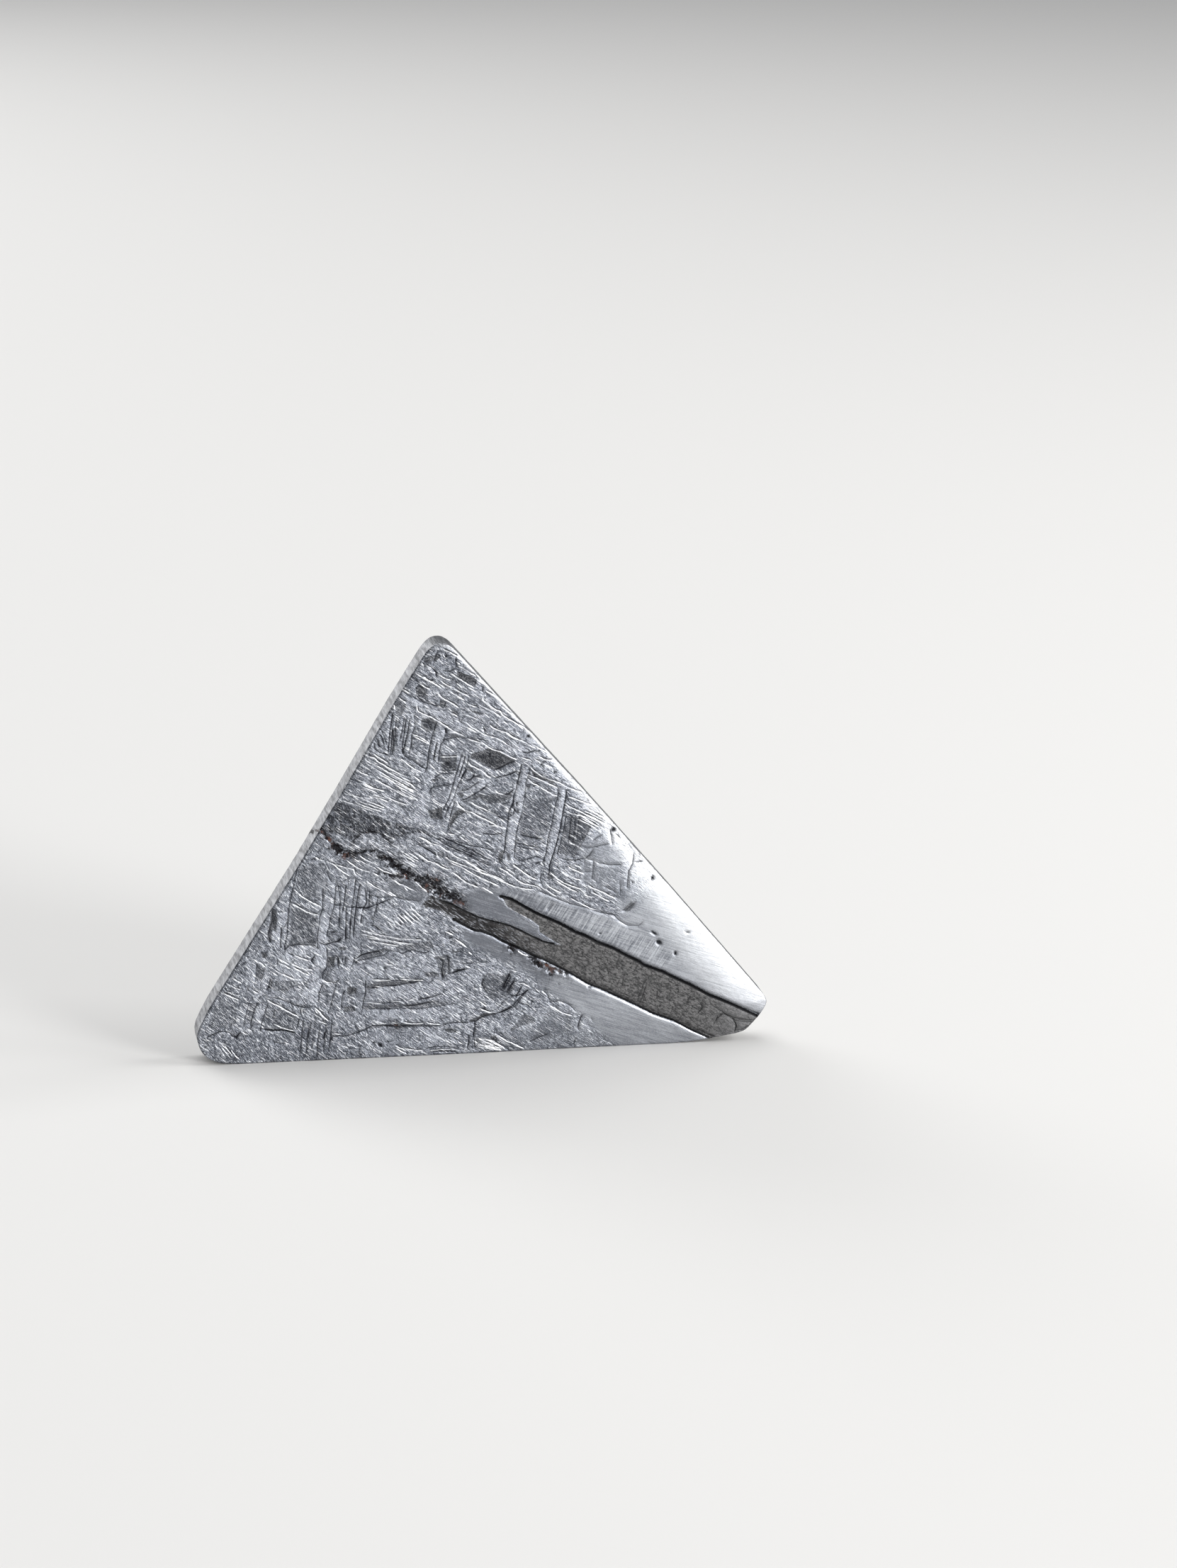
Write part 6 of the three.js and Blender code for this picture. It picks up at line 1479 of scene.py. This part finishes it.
def etchedIron():
    sh = Shader("etched_iron_look")
    place = sh.add("ShaderNodeTexCoord", output="Object")
    bandInside, swathInside, grooveWidths = sh.parts("zones")
    fieldInside, fieldTone, patchInside = sh.parts("fields")
    veinWidths, combInside, pitInside = sh.parts("stains")
    lighter, paintedEdgeHighlight, veinGap = sh.parts("tints")
    onFace = sh.attribute("onFace", "Fac")
    across, _, up = [number / mm for number in sh.split(place)]

    # the acid brought out short streaks, steeper at the lower left and flatter elsewhere
    drift = sh.grains(place, 0.25, detail=1.0)
    lowerLeft = sh.ease(across + up * 0.35 + (drift - 0.5) * 14, -5.0, -13.0)
    steep = sh.streaks(place, **patterns["steep"])
    flat = sh.streaks(place, **patterns["flat"])
    streak = steep * lowerLeft + flat * (1 - lowerLeft)
    fine = sh.grains(place, 9.0)
    crisp = sh.streaks(place, **patterns["crisp"])
    swirl = sh.ease(sh.streaks(place, **patterns["swirl"]), 0.45, 0.56)
    slow = sh.streaks(place, **patterns["slow"])
    brushed = sh.streaks(place, **patterns["brushed"])
    combed = sh.streaks(place, **patterns["combed"])

    # long bars in two directions, each of its own grey, with thin outlines
    barsFlat = sh.cells(place, **patterns["barsFlat"])
    barsSteep = sh.cells(place, **patterns["barsSteep"])
    outlines = sh.ease(sh.cracks(place, **patterns["barsFlat"]), 0.045, 0.01) * 0.5
    outlines = outlines + sh.ease(sh.cracks(place, **patterns["barsSteep"]), 0.04, 0.01) * 0.35

    # where each kind of surface lies, with a slightly wandering border
    wander = (fine - 0.5) * 0.12
    west = sh.ease(across + up * 0.5 + (drift - 0.5) * 3, 13.0, 7.0)
    torn = sh.streaks(place, **patterns["torn"])
    inBand = sh.ease(bandInside + wander + (torn - 0.5) * west * 1.6, -0.04, 0.04)
    field = sh.ease(fieldInside + wander, -0.05, 0.07) * fieldTone
    inField = sh.clamp(field)
    inPatch = sh.ease(patchInside + wander * 2, -0.08, 0.2)
    inSwath = sh.ease(swathInside + (drift - 0.5) * 0.8, -0.7, 0.7) * (1 - inBand)
    inComb = sh.ease(combInside, -0.2, 0.5)
    onSide = sh.ease(onFace, 0.2, 0.02)

    # long thin lines between the bars, as a painted highlight with painted shade beside it
    hairs = sh.streaks(place, **patterns["hairs"])
    hairLight = sh.ease(hairs, 0.60, 0.68) * (1 - inSwath) * (1 - inField)
    hairShade = sh.ease(hairs, 0.41, 0.33) * (1 - inSwath) * (1 - inField)

    # lines: a ledge drawn as a painted highlight with painted shade above it, or a seam drawn as painted
    # shade
    jitter = (sh.grains(place, 3.6) - 0.5) * lineLook["jitter"]
    strength = sh.ease(sh.grains(place, 0.9, detail=1.0), 0.36, 0.56, 0.4, 1.0)
    rimLight, rimShade, seamShade = 0.0, 0.0, 0.0
    for i in range(relief["channels"]):
        s, rim, seam = sh.parts(f"line{i}")
        s = s + jitter
        rimLight = sh.bell(s, lineLook["rimSpread"]) * rim + rimLight
        rimShade = sh.bell(s - lineLook["shadeAt"], lineLook["shadeSpread"]) * rim + rimShade
        seamShade = sh.bell(s, lineLook["seamSpread"]) * seam + seamShade
    rimLight = rimLight * strength * (1 - inSwath * 0.25)
    rimShade = rimShade * strength * (1 - inSwath * 0.5)
    seamShade = seamShade * (0.7 + strength * 0.4) * (1 - inSwath * 0.55)

    # corrosion in the vein, with a stained border around it
    speck = sh.ease(sh.grains(place, 2.6, detail=4.0, roughness=0.75), 0.42, 0.58)
    ragged = (sh.grains(place, 2.2, detail=4.0, roughness=0.8) - 0.5) * 8
    corroded = sh.ease(veinWidths + ragged, 1.3, 0.5)
    stained = sh.ease(veinGap + ragged * 0.3, 1.3, 0.1)
    rusty = sh.ease(sh.grains(place, 0.9), 0.54, 0.64)

    # metal: bars, streaks with painted glints and painted shade, bright swaths, and the painted highlight
    # along the edge
    # painted glints on the brightest streaks and painted shade in the darkest
    paintedGlint = sh.ease(streak, 0.56, 0.74) * (1 - inSwath)
    gap = sh.ease(streak, 0.45, 0.30) * (1 - inSwath * 0.7)
    bars = (barsFlat - 0.5) * 0.35 + (barsSteep - 0.5) * 0.35
    tone = sh.clamp(0.43 + (streak - 0.5) * 1.3 + (crisp - 0.5) * 2.2 + (slow - 0.5) * 0.35 + bars * 0.8
                    - field * 0.45 + lighter * 0.5)
    colour = sh.blend(tone, metal["barDark"], metal["barLight"])
    colour = sh.blend(paintedGlint * cover["paintedGlint"], colour, metal["paintedGlint"])
    colour = sh.blend(gap * cover["gap"], colour, metal["gap"])
    polish = sh.clamp(0.6 + lighter * 0.8 + (brushed - 0.5) * 1.3 + (combed - 0.5) * inComb * 2.2
                      + (crisp - 0.5) * 0.5 + (slow - 0.5) * 0.6 - sh.ease(across, 12.0, 2.0) * 0.3)
    swath = sh.blend(polish, metal["swathDark"], metal["swathLight"])
    colour = sh.blend(inSwath * cover["swath"], colour, swath)
    # painted highlight along the edge
    colour = sh.blend(paintedEdgeHighlight * (0.25 + brushed * 0.7), colour, metal["paintedEdgeHighlight"])

    # low fields and the speckled patch
    core = sh.ease(fieldInside + (drift - 0.5) * 0.4, 0.1, 0.5)
    fieldGrey = sh.ease(fine + (streak - 0.5) * 0.5 - core * 0.12, 0.32, 0.66)
    fieldColour = sh.blend(fieldGrey, metal["fieldDark"], metal["fieldLight"])
    colour = sh.blend(inField * (0.76 + core * 0.1 + speck * 0.14), colour, fieldColour)
    colour = sh.blend(inPatch * (0.3 + swirl * 0.6), colour, metal["fieldDark"])

    # stain, hairs and lines, with their painted shade and painted highlights, lie over the metal, and the
    # sides are plain
    colour = sh.blend(stained * (1 - speck) * cover["stain"], colour, metal["char"])
    # painted shade and painted highlight of the hair lines
    colour = sh.blend(hairShade * cover["hairShade"], colour, metal["gap"])
    colour = sh.blend(hairLight * cover["hairLight"], colour, metal["paintedGlint"])
    outlines = outlines * strength * (1 - inSwath) * (1 - inField)
    colour = sh.blend(outlines, colour, metal["gap"])
    # painted shade along the seams and above the rims, painted highlight on the rims
    colour = sh.blend(sh.clamp(seamShade), colour, metal["gap"])
    colour = sh.blend(sh.clamp(rimShade), colour, metal["gap"])
    colour = sh.blend(sh.clamp(rimLight), colour, metal["paintedGlint"])
    sideGrain = sh.ease(sh.grains(place, 2.5, detail=4.0), 0.3, 0.7)
    colour = sh.blend(onSide, colour, sh.blend(sideGrain, metal["sideDark"], metal["sideLight"]))

    # the mineral: grain and cracks, black shreds at its west end, paler and webbed at its east end
    grain = sh.streaks(place, **patterns["mineral"])
    crystals = sh.cells(place, **patterns["crystals"])
    crack = sh.cracks(place, **patterns["crack"])
    web = sh.ease(sh.cracks(place, **patterns["web"]), 0.06, 0.0)
    east = sh.ease(across, 22.0, 28.5)
    paler = sh.ease(grain + (crystals - 0.5) * 0.1, 0.42, 0.62)
    mineral = sh.blend(paler, metal["mineral"], metal["mineralLight"])
    mineral = sh.blend(sh.ease(grain, 0.46, 0.34), mineral, metal["mineralDark"])
    mineral = sh.blend(sh.ease(crack, 0.035, 0.0, 0, cover["crack"]), mineral, metal["mineralDark"])
    shreds = sh.ease(torn, 0.46, 0.58)
    mineral = sh.blend(west * (cover["char"] - shreds * cover["shreds"]), mineral, metal["char"])
    shredMetal = sh.ease(torn, 0.54, 0.62)
    mineral = sh.blend(west * shredMetal * cover["shredMetal"], mineral, metal["barLight"])
    mineral = sh.blend(east * (0.25 + grain * 0.5), mineral, metal["mineralPale"])
    mineral = sh.blend(east * web * cover["web"], mineral, metal["mineralDark"])
    # painted shade in the cracks of the band
    mineral = sh.blend(sh.clamp(seamShade), mineral, metal["groove"])
    colour = sh.blend(inBand, colour, mineral)

    # the grooves and the pits get painted shade
    groove = sh.ease(grooveWidths + wander * 6, 1.35, 0.75)
    colour = sh.blend(groove, colour, metal["groove"])
    colour = sh.blend(pitInside, colour, metal["fieldDark"])
    rust = sh.blend(rusty, metal["char"], metal["rust"])
    colour = sh.blend(corroded * (0.55 + speck * 0.45), colour, rust)

    dull = sh.clamp(inBand + groove + corroded + pitInside)
    rough = 0.5 - (streak - 0.5) * 0.2 - inSwath * 0.1 - rimLight * 0.1
    rough = sh.clamp(rough * (1 - dull) + dull * 0.62)
    metallic = sh.clamp(1 - inBand * 0.5 - corroded * rusty * 0.8)

    rise = fineHeight
    etch = paintedGlint * rise["paintedGlint"] - gap * rise["gap"] + (streak - 0.5) * rise["streak"]
    etch = etch + (crisp - 0.5) * rise["crisp"] - outlines * rise["outline"]
    etch = etch + hairLight * rise["hair"] - hairShade * rise["hair"]
    height = (rimLight - rimShade - seamShade) * rise["line"] + etch * (1 - inSwath * 0.8)
    height = height + (brushed - 0.5) * inSwath * rise["brushed"] + (combed - 0.5) * inComb * rise["combed"]
    mineralHeight = (grain - 0.5) * rise["mineral"] + (fine - 0.5) * rise["mineralFine"]
    height = height * (1 - inBand) + inBand * mineralHeight
    height = height - corroded * (1 - speck) * rise["corroded"] - inPatch * swirl * rise["patch"]
    height = height - inField * fine * rise["field"]
    normal = sh.add("ShaderNodeBump", inputs={"Strength": 1.0, "Distance": mm, "Height": height})

    surface = sh.add("ShaderNodeBsdfPrincipled", inputs={
        "Base Color": colour, "Roughness": rough, "Metallic": metallic, "Normal": normal})
    sh.add("ShaderNodeOutputMaterial", inputs={"Surface": surface})
    return sh.material


stage = {
    "floorSize": 30.0,
    "floorColour": (0.80, 0.79, 0.77, 1),
    "floorRoughness": 0.75,
    "world": (0.86, 0.88, 0.92, 1),
    "worldStrength": 0.28,
}


def makeFloor():
    bm = bmesh.new()
    bmesh.ops.create_grid(bm, x_segments=1, y_segments=1, size=stage["floorSize"] / 2)
    mesh = bpy.data.meshes.new("floor")
    bm.to_mesh(mesh)
    bm.free()
    floor = bpy.data.objects.new("floor", mesh)
    bpy.context.scene.collection.objects.link(floor)
    sh = Shader("pale_floor")
    surface = sh.add("ShaderNodeBsdfPrincipled", inputs={
        "Base Color": stage["floorColour"], "Roughness": stage["floorRoughness"]})
    sh.add("ShaderNodeOutputMaterial", inputs={"Surface": surface})
    mesh.materials.append(sh.material)


# Soft studio light: name, place and aim in millimetres, size in metres, power in watts
lamps = [
    {"name": "key", "place": (740, -870, 215), "aim": (8, 0, 14), "size": 0.36, "power": 12.5},
    {"name": "side", "place": (860, -80, 480), "aim": (0, 0, 20), "size": 0.6, "power": 6.0},
    {"name": "top", "place": (-120, 320, 1280), "aim": (0, -20, 0), "size": 1.2, "power": 6.8},
    {"name": "rear", "place": (-620, 980, 420), "aim": (0, 0, 20), "size": 0.7, "power": 6.0},
]


def makeLamp(settings):
    light = bpy.data.lights.new(settings["name"], "AREA")
    light.shape = "SQUARE"
    light.size = settings["size"]
    light.energy = settings["power"]
    lamp = bpy.data.objects.new(settings["name"], light)
    lamp.location = Vector(settings["place"]) * mm
    towards = (Vector(settings["aim"]) - Vector(settings["place"])).normalized()
    lamp.rotation_euler = towards.to_track_quat("-Z", "Y").to_euler()
    bpy.context.scene.collection.objects.link(lamp)


def makeWorld():
    world = bpy.data.worlds.new("studio")
    world.use_nodes = True
    background = world.node_tree.nodes["Background"]
    background.inputs["Color"].default_value = stage["world"]
    background.inputs["Strength"].default_value = stage["worldStrength"]
    bpy.context.scene.world = world
    bpy.context.scene.view_settings.view_transform = "Standard"


# Place in millimetres, angles in degrees
camera = {
    "place": (-66.45, -449.8, 151.7),
    "down": 15.08,
    "turn": 9.797,      # to the right of straight ahead
    "roll": 0.49,
    "lens": 102.9,
    "sensor": 36,
    "clipStart": 0.01,
}


def makeCamera():
    data = bpy.data.cameras.new("camera")
    data.lens = camera["lens"]
    data.sensor_width = camera["sensor"]
    data.sensor_fit = "AUTO"
    data.clip_start = camera["clipStart"]
    eye = bpy.data.objects.new("camera", data)
    aim = (Matrix.Rotation(math.radians(-camera["turn"]), 4, "Z")
           @ Matrix.Rotation(math.radians(90 - camera["down"]), 4, "X")
           @ Matrix.Rotation(math.radians(camera["roll"]), 4, "Z"))
    eye.matrix_world = Matrix.Translation(Vector(camera["place"]) * mm) @ aim
    bpy.context.scene.collection.objects.link(eye)
    bpy.context.scene.camera = eye


makeCamera()
makeFloor()
for settings in lamps:
    makeLamp(settings)
makeWorld()
print("camera, floor and lights are set")

piece = makeSlice()
piece.data.materials.append(etchedIron())
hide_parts("iron_slice")
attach(piece, "root")
print("slice has", sum(len(p.vertices) - 2 for p in piece.data.polygons), "triangles")
